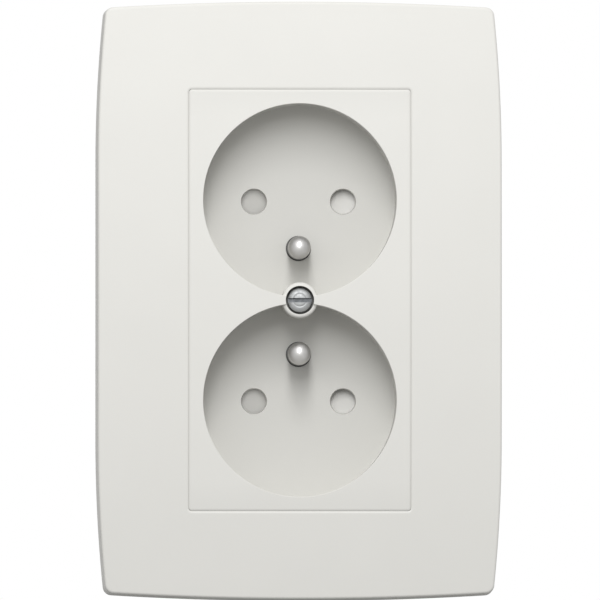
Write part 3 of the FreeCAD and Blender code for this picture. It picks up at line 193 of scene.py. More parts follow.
# %% Profiles and turned shapes
def arc(centre, radius, start, end, steps=10):
    """Points (x, y) of an arc: centre + radius * (cos a, sin a), for a from start to end in
    degrees."""
    turn = np.radians(np.linspace(start, end, steps))
    return np.stack([centre[0] + radius * np.cos(turn), centre[1] + radius * np.sin(turn)], axis=1)


def turned(profile, across=0.0, up=0.0, columns=96):
    """Half profile (radius, height) carried round an axis square to the wall:
    across + radius * cos a, height, up + radius * sin a."""
    radius, height = np.concatenate([np.atleast_2d(part) for part in profile]).T[:, :, None]
    turn = np.linspace(0, 2 * math.pi, columns, endpoint=False)
    points = stack_rows([(across + radius * np.cos(turn), height, up + radius * np.sin(turn))])[0]
    return points, [sheet_quads(len(radius), columns)]


def drum(radius, low, high, across=0.0, up=0.0, columns=96):
    """A plain closed cylinder between two heights."""
    return turned([[(0, low), (radius, low), (radius, high), (0, high)]], across, up, columns)


print("points of a turned drum:", drum(1, 0, 1)[0].shape)

# %% [markdown]
# ## The dome
#
# The front of the socket isn't flat. It is part of a large cylinder lying across, so it falls away
# towards the top and the bottom, and the frame and the cover follow the same curve.

# %% Height of the front surface
FRONT_HEIGHT = 21.2
DOME_RADIUS = 750.0


def dome(up):
    """Height of the front at a place: top of a circle of the dome's radius, seen from the side."""
    return FRONT_HEIGHT - (DOME_RADIUS - np.sqrt(DOME_RADIUS**2 - up**2))


print("fall at the ends, mm:", round(FRONT_HEIGHT - float(dome(63.9)), 2))

# %% [markdown]
# ## The outline of the cover frame
#
# The sides run straight for a while and then sweep gently inwards. The top and the bottom are
# shallow arcs, and small rounded corners join them. The outline can be drawn in by any amount,
# because the rounded edge, the drafted side and the hollow back are all the same outline, drawn in
# a little more or less. One right side, one corner and one end are worked out, and the rest are
# their mirror images.

# %% Outline helpers
SIDE_POINTS = 61
CORNER_POINTS = 9
END_POINTS = 45


def full_ring(side, corner, end):
    """Closed ring from a right side (bottom to top), a top right corner and a top end."""
    turned_corner = corner[::-1]
    parts = [
        side, corner, end, turned_corner * (-1, 1),
        -side, -corner, -end, turned_corner * (1, -1),
    ]
    return np.concatenate(parts)


def rounded_rectangle(width, tall, corner):
    """Ring round a rectangle: straight sides between corner arcs."""
    half_width, half_tall = width / 2, tall / 2
    share = np.linspace(-1, 1, SIDE_POINTS)
    side = np.stack([np.full(SIDE_POINTS, half_width), share * (half_tall - corner)], axis=1)
    share = np.linspace(1, -1, END_POINTS)
    end = np.stack([share * (half_width - corner), np.full(END_POINTS, half_tall)], axis=1)
    bend = arc((half_width - corner, half_tall - corner), corner, 0, 90, CORNER_POINTS + 2)
    return full_ring(side, bend[1:-1], end)


print("points round a window:", len(rounded_rectangle(47.3, 89.8, 0.7)))

# %% [markdown]
# The swept outline needs one step more: the corner circle has to touch both arcs. Its centre is
# where the two arcs, each drawn in by the corner's radius, cross. A few rounds of stepping from
# one arc to the other find it.

# %% The swept outline
FRAME_WIDTH = 86.5
FRAME_TALL = (cad_high.z - cad_low.z) / MILLIMETRE
SIDE_STRAIGHT = 29.8
SIDE_SWEEP = 313.0
END_SWEEP = 660.0
SWEEP_ACROSS = FRAME_WIDTH / 2 - SIDE_SWEEP
SWEEP_UP = FRAME_TALL / 2 - END_SWEEP


def side_edge(up, inset):
    """Distance across of the side's edge: on the sweep circle beyond the straight stretch."""
    beyond = np.maximum(np.abs(up) - SIDE_STRAIGHT, 0)
    return SWEEP_ACROSS + np.sqrt((SIDE_SWEEP - inset) ** 2 - beyond**2)


def end_edge(across, inset):
    """Distance up of the end's edge: on the end's circle."""
    return SWEEP_UP + np.sqrt((END_SWEEP - inset) ** 2 - across**2)


def plate_ring(inset, corner):
    """The cover frame's outline, drawn in by inset, with corner arcs of that radius."""
    across = FRAME_WIDTH / 2
    for _ in range(25):
        up = end_edge(across, inset + corner)
        across = side_edge(up, inset + corner)
    centre = np.array([across, up])
    to_side = centre - (SWEEP_ACROSS, SIDE_STRAIGHT)
    to_end = centre - (0, SWEEP_UP)
    start = math.degrees(math.atan2(to_side[1], to_side[0]))
    stop = math.degrees(math.atan2(to_end[1], to_end[0]))
    bend = arc(centre, corner, start, stop, CORNER_POINTS + 2)
    rise = np.linspace(-1, 1, SIDE_POINTS) * bend[0, 1]
    side = np.stack([side_edge(rise, inset), rise], axis=1)
    run = np.linspace(1, -1, END_POINTS) * bend[-1, 0]
    end = np.stack([run, end_edge(run, inset)], axis=1)
    return full_ring(side, bend[1:-1], end)


print("half width at the ends, mm:", round(float(plate_ring(0, 1.9)[:, 0].max()), 2))

# %% [markdown]
# ## The cover frame
#
# On the real socket this is a thin injection moulding. A section through one of its bars starts at
# the window, rolls over a small lip, crosses the domed face, turns over the rounded edge and runs
# down the side to the wall. Behind, the bar is hollow, with a collar round the window. Carrying
# that section round the ring of outlines gives the whole frame in one closed sheet. The lip is a
# shallow arc, half a millimetre wide, and the cover gets the same one. Together they are the faint
# groove round the cover.

# %% Front of the cover frame
WINDOW_WIDTH = 47.34
WINDOW_TALL = 89.79
WINDOW_CORNER = 0.7
LIP_RADIUS = 0.8
LIP_TURNS = np.radians([0, 8, 16, 24, 32, 40])
LIP_WIDTH = LIP_RADIUS * math.sin(LIP_TURNS[-1])
FRAME_EDGE = 0.5
FRAME_CORNER = 1.9
DRAFT = math.tan(math.radians(0.8))
LEDGE_HEIGHT = 17.2


def window_row(outset, drop):
    """Window outline drawn out by outset, that far below the dome."""
    across, up = rounded_rectangle(
        WINDOW_WIDTH + 2 * outset, WINDOW_TALL + 2 * outset, WINDOW_CORNER + outset
    ).T
    return across, dome(up) - drop, up


def face_rows(shares):
    """Rows between the window's lip and the outer edge: shares of the way, on the dome."""
    edge_inset = (FRONT_HEIGHT - FRAME_EDGE) * DRAFT + FRAME_EDGE
    inner = rounded_rectangle(
        WINDOW_WIDTH + 2 * LIP_WIDTH, WINDOW_TALL + 2 * LIP_WIDTH, WINDOW_CORNER + LIP_WIDTH
    )
    outer = plate_ring(edge_inset, FRAME_CORNER - FRAME_EDGE)
    rows = []
    for share in shares:
        across, up = (inner * (1 - share) + outer * share).T
        rows.append((across, dome(up), up))
    return rows


def edge_rows(turns):
    """Rows over the rounded edge: a quarter circle from the face, at 90, to the side, at 0."""
    rows = []
    for turn in np.radians(turns):
        roll = FRAME_EDGE * (1 - math.cos(turn))
        inset = (FRONT_HEIGHT - FRAME_EDGE) * DRAFT + roll
        across, up = plate_ring(inset, FRAME_CORNER - roll).T
        rows.append((across, dome(up) - FRAME_EDGE * (1 - math.sin(turn)), up))
    return rows


def lip_rows():
    """Rows over the window's lip: a shallow arc from the window's wall up to the face."""
    return [
        window_row(LIP_WIDTH - LIP_RADIUS * math.sin(turn), LIP_RADIUS * (1 - math.cos(turn)))
        for turn in LIP_TURNS[::-1]
    ]


face_shares = np.array([0.01, 0.03, 0.08, 0.2, 0.35, 0.5, 0.65, 0.8, 0.92, 0.97, 0.99])
print("rows across the face:", len(face_rows(face_shares)))

# %% [markdown]
# The side wall runs back to the wall plane with a little draft, so that the moulding leaves its
# mould. The back is open: inside the wall there is a hollow with a roof about two millimetres
# thick, and the collar reaches back round the window to guide the cover.

# %% Sides and back of the cover frame
OPENING_WIDTH = 45.0
OPENING_TALL = 87.45
COLLAR_WIDTH = 50.8
COLLAR_TALL = 93.25
COLLAR_HEIGHT = 9.0
FRAME_WALL = 2.0
FRAME_SKIN = 2.2


def level_row(ring, height):
    """A ring at one height."""
    return ring[:, 0], np.full(len(ring), height), ring[:, 1]


def roof_row(ring):
    """A ring on the roof of the hollow, under the dome."""
    return ring[:, 0], dome(ring[:, 1]) - FRAME_SKIN, ring[:, 1]


def side_rows(heights):
    """Rows down the drafted side: the inset shrinks with the height."""
    return [level_row(plate_ring(height * DRAFT, FRAME_CORNER), height) for height in heights]


def frame_section():
    """The closed section of the frame, as rows of points."""
    collar = rounded_rectangle(COLLAR_WIDTH, COLLAR_TALL, 0.2)
    opening = rounded_rectangle(OPENING_WIDTH, OPENING_TALL, 0.1)
    window = rounded_rectangle(WINDOW_WIDTH, WINDOW_TALL, WINDOW_CORNER)
    inside = plate_ring(FRAME_WALL, 0.15)
    rows = [level_row(window, LEDGE_HEIGHT)]
    rows += lip_rows()
    rows += face_rows(face_shares)
    rows += edge_rows([90, 80, 70, 60, 50, 40, 30, 20, 10, 0])
    rows += side_rows([16, 12, 8, 4, 0.4, 0])
    rows += [level_row(inside, 0), level_row(inside, 0.4), roof_row(inside)]
    rows += [roof_row(collar), level_row(collar, COLLAR_HEIGHT)]
    rows += [level_row(opening, COLLAR_HEIGHT), level_row(opening, LEDGE_HEIGHT)]
    rows.append(rows[0])
    return stack_rows(rows)


section = frame_section()
print("rows and columns of the frame:", section.shape[:2])

# %% [markdown]
# Thin ribs stiffen the bars from behind. Each is a plain box whose ends are sunk a little into
# the wall and the collar, and whose front is sunk into the roof. A Boolean joins them to the
# moulding, so that no face is left inside it.

# %% Ribs behind the cover frame
RIB_HEIGHT = 12.5
RIB_HALF = 0.6
RIB_OFFSET = 22.0
SUNK = 0.3


def box_shell(left, right, bottom, top, low, high):
    """A closed box: one ring of four corners at each of two heights, with two lids."""
    across = np.array([left, right, right, left])
    up = np.array([bottom, bottom, top, top])
    points = stack_rows([(across, low, up), (across, high, up)])
    lids = [np.arange(4)[None, :], np.arange(4, 8)[None, :]]
    return points, [sheet_quads(2, 4), *lids]


def frame_ribs():
    """Two ribs across each long bar and one across each end."""
    collar_side = COLLAR_WIDTH / 2 - SUNK
    collar_end = COLLAR_TALL / 2 - SUNK
    wall_side = FRAME_WIDTH / 2 - FRAME_WALL + SUNK
    wall_end = FRAME_TALL / 2 - FRAME_WALL + SUNK
    ribs = []
    for rise in (RIB_OFFSET, -RIB_OFFSET):
        roof = float(dome(rise)) - FRAME_SKIN + SUNK
        for left, right in ((collar_side, wall_side), (-wall_side, -collar_side)):
            ribs.append(box_shell(left, right, rise - RIB_HALF, rise + RIB_HALF, RIB_HEIGHT, roof))
    roof = float(dome(wall_end)) - FRAME_SKIN + SUNK
    for bottom, top in ((collar_end, wall_end), (-wall_end, -collar_end)):
        ribs.append(box_shell(-RIB_HALF, RIB_HALF, bottom, top, RIB_HEIGHT, roof))
    return ribs


shell = (section, [sheet_quads(*section.shape[:2])])
cover_frame = solid_piece("cover_frame_moulding", [shell])
carve(cover_frame, solid_piece("rib_tool", frame_ribs()), "UNION")

# %% [markdown]
# ## The face of the socket cover
#
# The cover is a rectangle with two round wells, and a face like that is hard to lay out in neat
# quads. It becomes easy when it is cut in half across the middle. Each half then is a sheet
# between a circle, the rim of its well, and the edge of a half rectangle, joined by straight
# spokes. The spokes start at the well's centre, and each is followed outwards until it meets the
# edge of the cover or the middle line.

# %% Spokes from a well's centre to the edge
COVER_WIDTH = 47.26
COVER_TALL = 89.71
WELL_RISE = 21.3
WELL_RADIUS = 20.6
EDGE_CORNER = 0.2
FACE_HALF = (COVER_WIDTH / 2 - LIP_WIDTH, COVER_TALL / 2 - LIP_WIDTH)


def past_rectangle(across, up):
    """How far a point lies outside the face's rounded rectangle; inside it is negative."""
    over_side = np.abs(across) - (FACE_HALF[0] - EDGE_CORNER)
    over_end = np.abs(up) - (FACE_HALF[1] - EDGE_CORNER)
    beyond = np.hypot(np.maximum(over_side, 0), np.maximum(over_end, 0))
    return beyond + np.minimum(np.maximum(over_side, over_end), 0) - EDGE_CORNER


def spoke_directions():
    """Even directions round the well, with extra ones at the corners of the half rectangle."""
    corner = arc((FACE_HALF[0] - EDGE_CORNER, FACE_HALF[1] - EDGE_CORNER), EDGE_CORNER, 0, 90, 8)
    corner = np.concatenate([corner, [(FACE_HALF[0], 0)]])
    corner = np.concatenate([corner, corner * (-1, 1)])
    at_corners = np.arctan2(corner[:, 1] - WELL_RISE, corner[:, 0])
    even = np.linspace(-math.pi, math.pi, 216, endpoint=False)
    apart = np.abs(even[:, None] - at_corners[None, :]).min(axis=1) > 0.004
    return np.sort(np.concatenate([even[apart], at_corners]))


def spoke_ends(direction):
    """Steps to the edge by halving: a spoke is inside while it is in the rectangle and above 0."""
    inside, outside = np.zeros(len(direction)), np.full(len(direction), 60.0)
    for _ in range(48):
        reach = (inside + outside) / 2
        across, up = reach * np.cos(direction), WELL_RISE + reach * np.sin(direction)
        past = np.maximum(past_rectangle(across, up), -up) > 0
        inside, outside = np.where(past, inside, reach), np.where(past, reach, outside)
    return np.stack([inside * np.cos(direction), WELL_RISE + inside * np.sin(direction)], axis=1)


spokes = spoke_directions()
edge_points = spoke_ends(spokes)
on_rim = past_rectangle(edge_points[:, 0], edge_points[:, 1]) > -1e-6
print("spokes:", len(spokes), "ending on the outer edge:", int(on_rim.sum()))

# %% [markdown]
# ## One half of the cover
#
# Following one spoke gives the whole section of the moulding: across the floor of the well, up its
# wall, over the lip, along the face to the edge, down to the ledge, and behind it down the skirt
# to the flat back. Spokes that end on the middle line stop there, because the other half goes on.

# %% Rows of the well and the face
WELL_LIP = 0.08
WELL_DEPTH = 15.1
FLOOR_FRONT = float(dome(WELL_RISE)) - WELL_DEPTH
FLOOR_WALL = 1.6
FLOOR_BACK = FLOOR_FRONT - FLOOR_WALL


def well_rows():
    """Rows from the floor's centre to the well's rim, as rings round the well's axis."""
    def ring(radius, height):
        up = WELL_RISE + radius * np.sin(spokes)
        return radius * np.cos(spokes), height, up

    rows = [ring(share * WELL_RADIUS, FLOOR_FRONT) for share in (0, 0.25, 0.5, 0.75, 0.95, 0.99)]
    rows += [ring(WELL_RADIUS, FLOOR_FRONT + lift) for lift in (0, 0.15, 3, 6, 9, 12, 14)]
    for turn in np.radians([0, 18, 36, 54, 72, 90]):
        radius = WELL_RADIUS + WELL_LIP * (1 - math.cos(turn))
        up = WELL_RISE + radius * np.sin(spokes)
        drop = WELL_LIP * (1 - math.sin(turn))
        rows.append(ring(radius, dome(up) - drop))
    return rows


def cover_face_rows(shares):
    """Rows along the spokes, from the rim of the well to the edge, on the dome."""
    rim = WELL_RADIUS + WELL_LIP
    circle = np.stack([rim * np.cos(spokes), WELL_RISE + rim * np.sin(spokes)], axis=1)
    rows = []
    for share in shares:
        across, up = (circle * (1 - share) + edge_points * share).T
        rows.append((across, dome(up), up))
    return rows


print("floor of a well, mm in front of the wall:", round(FLOOR_FRONT, 3))

# %% [markdown]
# The cover's edge has the same shallow lip as the window. The solids leave three tenths of a
# millimetre there for the fit. The photograph shows no dark slit, so the fine pieces nearly touch.
# Behind the edge the cover steps in over the ledge, and a skirt guides it inside the collar.

# %% Rows of the edge, the skirt and the back
SKIRT_HALF = np.array([22.2, 43.425])


def rim_rows():
    """Rows over the rounded edge and down to the ledge; on the middle line they stay put."""
    across, up = edge_points.T
    over_side = np.maximum(np.abs(across) - (FACE_HALF[0] - EDGE_CORNER), 0) * np.sign(across)
    over_end = np.maximum(np.abs(up) - (FACE_HALF[1] - EDGE_CORNER), 0) * np.sign(up)
    length = np.maximum(np.hypot(over_side, over_end), 1e-9)
    out = np.stack([over_side / length, over_end / length]) * on_rim
    rows = []
    for turn in LIP_TURNS[1:]:
        step = LIP_RADIUS * math.sin(turn)
        drop = LIP_RADIUS * (1 - math.cos(turn)) * on_rim
        side, end = across + step * out[0], up + step * out[1]
        rows.append((side, dome(up) - drop, end))
    side, end = across + LIP_WIDTH * out[0], up + LIP_WIDTH * out[1]
    for height in (19.0, LEDGE_HEIGHT + 0.15, LEDGE_HEIGHT):
        rows.append((side, np.where(on_rim, height, dome(up)), end))
    return rows


def back_rows():
    """Rows down the skirt and over the flat back to the well's axis."""
    across = np.clip(edge_points[:, 0], -SKIRT_HALF[0], SKIRT_HALF[0])
    up = np.clip(edge_points[:, 1], 0, SKIRT_HALF[1])
    rows = [(across, LEDGE_HEIGHT, up), (across, 10.0, up), (across, FLOOR_BACK, up)]
    for share in (0.66, 0.33, 0):
        rows.append((across * share, FLOOR_BACK, WELL_RISE + (up - WELL_RISE) * share))
    return rows


print("back of the floor, mm in front of the wall:", round(FLOOR_BACK, 3))

# %% [markdown]
# The two halves are the same sheet, once as it is and once mirrored. In each the quads of the edge
# and the skirt are left out along the middle line. Merging the doubles there closes the shell.

# %% Both halves as one shell
def cover_halves():
    """The upper half and its mirror image, with the quads that each one keeps."""
    inner = well_rows() + cover_face_rows([0.02, 0.06, 0.15, 0.3, 0.5, 0.7, 0.85, 0.94, 0.98, 1])
    outer = rim_rows()
    back = back_rows()
    upper = stack_rows(inner + outer + back)
    quads = sheet_quads(*upper.shape[:2])
    rim_quad = on_rim & np.roll(on_rim, -1)
    first, last = len(inner) - 1, len(inner) + len(outer) + 2
    keep = np.ones(quads.shape[:2], bool)
    keep[first:last] = rim_quad
    return [(upper, [quads[keep]]), (upper * (1, 1, -1), [quads[keep]])]


socket_cover = solid_piece("socket_cover_moulding", cover_halves())

# %% [markdown]
# ## The boss, the holes and the pockets
#
# The boss of the central screw and the pivots of the shutters are joined to the shell. Then one
# cutter takes away what the cores of the mould leave open: the stepped screw hole, four contact
# holes, two holes for the earth pins, and six pockets behind the face, between the round cups and
# the straight skirt.

# %% Boss, pivots and pegs
BOSS_RADIUS = 3.8
BOSS_TOP = 20.7
BOSS_EDGE = 0.7
PIVOT_RADIUS = 1.4
PIVOT_END = 1.2
PEG_RADIUS = 0.7
PEG_END = 1.8
PEG_ACROSS = 2.1 - 0.13 - PEG_RADIUS
PEG_UP = 8.0


def boss_and_pivots():
    """The turned boss, and a pivot and a peg behind each floor."""
    edge = arc((BOSS_RADIUS - BOSS_EDGE, BOSS_TOP - BOSS_EDGE), BOSS_EDGE, 0, 90, 8)
    boss = turned([(0, 0.0), (BOSS_RADIUS, 0.0), edge, (0, BOSS_TOP)], columns=128)
    shells = [boss]
    for level in (1, -1):
        rise = WELL_RISE * level
        shells.append(drum(PIVOT_RADIUS, PIVOT_END, FLOOR_BACK + 0.5, up=rise, columns=48))
        peg_up = rise + PEG_UP * level
        peg_across = -PEG_ACROSS * level
        shells.append(drum(PEG_RADIUS, PEG_END, FLOOR_BACK + 0.5, peg_across, peg_up, 32))
    return shells


carve(socket_cover, solid_piece("boss_tool", boss_and_pivots()), "UNION")

# %% [markdown]
# A thick lump of plastic sinks as it cools, so the real moulding is cored out between its cups and
# its skirt. Seen from behind, each pocket is a flat outline with straight sides and an arc that
# follows the cup. Carried between two heights, the outline becomes a cutter.

# %% Holes and pockets
RECESS_RADIUS = 3.02
HEAD_SEAT = 17.8
SHANK_HOLE = 1.75
PIN_SIDE = 9.5
CONTACT_HOLE = 2.8
CONTACT_END = 2.6
EARTH_RISE = 11.3
EARTH_HOLE = 2.7
CUP_RADIUS = 22.0
POCKET_HALF = SKIRT_HALF - 1.2
POCKET_ROOF = float(dome(44.725)) - 2.0


def prism(loop, low, high):
    """A flat loop of (across, up) points carried between two heights, with a lid at each end."""
    across, up = np.asarray(loop).T
    count = len(across)
    points = stack_rows([(across, low, up), (across, high, up)])
    lids = [np.arange(count)[None, :], np.arange(count, 2 * count)[None, :]]
    return points, [sheet_quads(2, count), *lids]


def corner_pocket():
    """Upper right pocket: two straight sides, closed by an arc of the cup."""
    side, end = POCKET_HALF
    start = math.degrees(math.asin((end - WELL_RISE) / CUP_RADIUS))
    stop = math.degrees(math.acos(side / CUP_RADIUS))
    return np.concatenate([[(side, end)], arc((0, WELL_RISE), CUP_RADIUS, start, stop, 24)])


def waist_pocket():
    """Right pocket at the waist: one straight side, closed by an arc of each cup."""
    side = math.degrees(math.acos(POCKET_HALF[0] / CUP_RADIUS))
    waist = math.degrees(math.asin(WELL_RISE / CUP_RADIUS))
    upper = arc((0, WELL_RISE), CUP_RADIUS, -side, -waist, 24)
    return np.concatenate([upper, (upper * (1, -1))[::-1][1:]])


print("roof of the pockets, mm:", round(POCKET_ROOF, 2))

# %% [markdown]
# Round holes are turned cutters. The screw's hole has a step, on which the head will sit. The
# contact holes narrow a little towards the back, which guides a plug's pins and shows as a fine
# ring. As none of the cutters touches another, they can be one mesh, and one Boolean takes them
# all away.

# %% Cut the cover
def cover_cutters():
    """Every hole and pocket of the cover as closed shells that don't touch."""
    steps = [(0, -1), (SHANK_HOLE, -1), (SHANK_HOLE, HEAD_SEAT), (RECESS_RADIUS, HEAD_SEAT)]
    shells = [turned([steps, [(RECESS_RADIUS, 30), (0, 30)]], columns=128)]
    below, above = FLOOR_BACK - 1, FLOOR_FRONT + 1
    taper = [(0, below), (CONTACT_END, below), (CONTACT_END, FLOOR_BACK)]
    taper += [(CONTACT_HOLE, FLOOR_FRONT), (CONTACT_HOLE, above), (0, above)]
    for level in (1, -1):
        rise = WELL_RISE * level
        for side in (PIN_SIDE, -PIN_SIDE):
            shells.append(turned([taper], side, rise, 72))
        shells.append(drum(EARTH_HOLE, below, above, 0, EARTH_RISE * level, 72))
    for side in (1, -1):
        shells.append(prism(waist_pocket() * (side, 1), below, POCKET_ROOF))
        for level in (1, -1):
            shells.append(prism(corner_pocket() * (side, level), below, POCKET_ROOF))
    return shells


carve(socket_cover, solid_piece("hole_tool", cover_cutters()), "DIFFERENCE")

# %% [markdown]
# ## The earth pins
#
# The pins are turned from brass and nickel plated. The tip is a dome that ends in a small pip
# where the parting tool left it, and the pin stands on a collar that is clamped to the earth
# strip.

# %% Earth pins
PIN_RADIUS = 2.4
PIN_TIP = 19.097
PIN_DOME = 1.68
ROOT_RADIUS = 2.6
ROOT_END = 6.097
PIN_COLLAR = (3.2, 1.2)
PIN_TAIL = (1.6, -1.5)
PIN_HEAD = (2.2, -2.1)


def pin_profile():
    """Half profile from the tip to the riveted tail; the dome is a circle through tip and edge."""
    radius = (PIN_RADIUS**2 + PIN_DOME**2) / (2 * PIN_DOME)
    edge = math.degrees(math.acos(PIN_RADIUS / radius))
    tip = arc((0, PIN_TIP - radius), radius, 88.5, edge + 3, 26)
    pip = [(0, PIN_TIP - 0.05), (0.1, PIN_TIP - 0.05)]
    return [pip, tip, [(PIN_RADIUS, PIN_TIP - PIN_DOME - 0.12), (PIN_RADIUS, ROOT_END + 0.05)]]


def pin_foot():
    """Half profile of the root, the collar, the tail and its peened head."""
    return [
        [(PIN_RADIUS, ROOT_END), (ROOT_RADIUS, ROOT_END), (ROOT_RADIUS, PIN_COLLAR[1])],
        [PIN_COLLAR, (PIN_COLLAR[0], 0), (PIN_TAIL[0], 0), PIN_TAIL],
        [(PIN_HEAD[0], PIN_TAIL[1]), (PIN_HEAD[0], PIN_HEAD[1] + 0.15)],
        [(PIN_HEAD[0] - 0.15, PIN_HEAD[1]), (0, PIN_HEAD[1])],
    ]


earth_pins = {}
for level, rise in (("upper", EARTH_RISE), ("lower", -EARTH_RISE)):
    pin_shell = turned(pin_profile() + pin_foot(), up=rise, columns=96)
    earth_pins[level] = solid_piece(f"earth_pin_{level}_turned", [pin_shell])

# %% [markdown]
# ## The central screw
#
# A screw of zinc plated steel draws the cover against the block. Its head is slightly crowned, with
# a shallow ring left by the die that formed it, and a plain slot for the driver. The ring catches
# the light, so it is drawn as a soft dent in the profile.

# %% Central screw
HEAD_RADIUS = 2.55
HEAD_TALL = 2.0
CROWN_FALL = 0.42
RING_RADIUS = 1.38
RING_DENT = 0.08
RING_SPREAD = 0.1
SCREW_RADIUS = 1.45
SCREW_END = -6.0
SLOT_WIDTH = 1.0
SLOT_DEPTH = 1.0


def screw_profile():
    """Half profile of the head, which falls with the fourth power of the radius, less the dent of
    the ring, a bell curve round its own radius, and then the pointed shank."""
    top = HEAD_SEAT + HEAD_TALL
    near_ring = [0, 0.6, 1.2, 1.3, 1.38, 1.46, 1.54, 1.65]
    towards_rim = [1.8, 1.95, 2.1, 2.25, 2.38, 2.47, 2.53]
    reach = np.array(near_ring + towards_rim)
    crown = top - CROWN_FALL * (reach / HEAD_RADIUS) ** 4
    ring = RING_DENT * np.exp(-(((reach - RING_RADIUS) / RING_SPREAD) ** 2))
    rim = [(HEAD_RADIUS, top - 0.55), (HEAD_RADIUS, HEAD_SEAT)]
    shank = [(SCREW_RADIUS, HEAD_SEAT), (SCREW_RADIUS, SCREW_END + SCREW_RADIUS), (0, SCREW_END)]
    return [np.stack([reach, crown - ring], axis=1), rim, shank]


centre_screw = solid_piece("centre_screw_turned", [turned(screw_profile(), columns=96)])
slot_low = HEAD_SEAT + HEAD_TALL - SLOT_DEPTH
slot_shell = box_shell(-4, 4, -SLOT_WIDTH / 2, SLOT_WIDTH / 2, slot_low, slot_low + 3)
carve(centre_screw, solid_piece("slot_tool", [slot_shell]), "DIFFERENCE")

# %% [markdown]
# ## Who rides on what
#
# Each fine piece stands for its solid, moves with the housing, and takes the finish of the same
# slot of the record.

# %% Attach each piece to the housing and hide its solid
stand_ins = [
    (cover_frame, "cover_frame", "frame_plastic"),
    (socket_cover, "socket_cover", "cover_plastic"),
    (centre_screw, "centre_screw", "screw_steel"),
    (earth_pins["upper"], "earth_pin_upper", "nickel"),
    (earth_pins["lower"], "earth_pin_lower", "nickel"),
]
for piece, node, slot in stand_ins:
    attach(piece, "housing")
    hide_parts(node)
    made_low, made_high = (Vector(corner) for corner in (piece.bound_box[0], piece.bound_box[6]))
    low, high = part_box(node)
    gap = max(abs(value) for value in (*(made_low - low), *(made_high - high)))
    print(f"{piece.name}: largest step from its solid's box, mm: {gap * 1000:.3f}")

# %% [markdown]
# ## Finishes
#
# A finish is a small network of nodes. All patterns read Object coordinates, which are metres on
# the real object, so a grain of a third of a millimetre stays that size.

# %% Helpers for the networks
def add_node(finish, kind, **settings):
    """Adds a node and sets its plain settings."""
    node = finish.node_tree.nodes.new(kind)
    for name, value in settings.items():
        setattr(node, name, value)
    return node


def join(finish, output, socket):
    """Wires one node's output to another's input."""
    finish.node_tree.links.new(output, socket)


def start_finish(name):
    """An empty material with one shader, ready for its pattern."""
    finish = bpy.data.materials.new(name)
    finish.use_nodes = True
    finish.node_tree.nodes.clear()
    shader = add_node(finish, "ShaderNodeBsdfPrincipled")
    output = add_node(finish, "ShaderNodeOutputMaterial")
    join(finish, shader.outputs["BSDF"], output.inputs["Surface"])
    return finish, shader


def grain(finish, size, detail=3.0, stretch=(1, 1, 1)):
    """Noise on Object coordinates whose grains are about that many metres across."""
    place = add_node(finish, "ShaderNodeTexCoord")
    mapping = add_node(finish, "ShaderNodeMapping")
    mapping.inputs["Scale"].default_value = [share / size for share in stretch]
    noise = add_node(finish, "ShaderNodeTexNoise")
    noise.inputs["Scale"].default_value = 1.0
    noise.inputs["Detail"].default_value = detail
    join(finish, place.outputs["Object"], mapping.inputs["Vector"])
    join(finish, mapping.outputs["Vector"], noise.inputs["Vector"])
    return noise.outputs["Fac"]


def between(finish, amount, low, high, start=0.3, end=0.7):
    """Maps a pattern's amount, from start to end, onto values from low to high."""
    ramp = add_node(finish, "ShaderNodeMapRange")
    join(finish, amount, ramp.inputs["Value"])
    for name, value in zip(("From Min", "From Max", "To Min", "To Max"), (start, end, low, high)):
        ramp.inputs[name].default_value = value
    return ramp.outputs["Result"]


print("finishes so far:", len(bpy.data.materials))

# %% [markdown]
# Colours are blended by a pattern's amount. Worn edges come from the Bevel node: where it bends the
# normal away from the true one, there is an edge.

# %% Blends, edges and bumps
def tint(finish, amount, first, second):
    """Blends two colours by a pattern's amount."""
    mix = add_node(finish, "ShaderNodeMix", data_type="RGBA")
    mix.inputs["A"].default_value = (*first, 1)
    mix.inputs["B"].default_value = (*second, 1)
    join(finish, amount, mix.inputs["Factor"])
    return mix.outputs["Result"]


def edge_mask(finish, radius):
    """1 at an edge and 0 on a flat: how far the bevelled normal leans from the true one."""
    bevel = add_node(finish, "ShaderNodeBevel", samples=4)
    bevel.inputs["Radius"].default_value = radius
    surface = add_node(finish, "ShaderNodeNewGeometry")
    lean = add_node(finish, "ShaderNodeVectorMath", operation="DOT_PRODUCT")
    join(finish, bevel.outputs["Normal"], lean.inputs[0])
    join(finish, surface.outputs["Normal"], lean.inputs[1])
    return between(finish, lean.outputs["Value"], 1.0, 0.0, 0.8, 0.99)


def blend(finish, amount, first, second):
    """Blends a colour that is already a pattern with a plain one."""
    mix = add_node(finish, "ShaderNodeMix", data_type="RGBA")
    mix.inputs["B"].default_value = (*second, 1)
    join(finish, first, mix.inputs["A"])
    join(finish, amount, mix.inputs["Factor"])
    return mix.outputs["Result"]


def raise_bumps(finish, shader, amount, height):
    """Feeds a pattern into the shader's normal as bumps of that many metres."""
    bump = add_node(finish, "ShaderNodeBump")
    bump.inputs["Distance"].default_value = height
    bump.inputs["Strength"].default_value = 1.0
    join(finish, amount, bump.inputs["Height"])
    join(finish, bump.outputs["Normal"], shader.inputs["Normal"])


def srgb(red, green, blue):
    """Linear colour of a colour as seen on a screen, each part from 0 to 255."""
    seen = np.array([red, green, blue]) / 255
    linear = np.where(seen > 0.04045, ((seen + 0.055) / 1.055) ** 2.4, seen / 12.92)
    return tuple(float(part) for part in linear)


print("a screen white of 229, 228, 223 is", [round(part, 3) for part in srgb(229, 228, 223)])
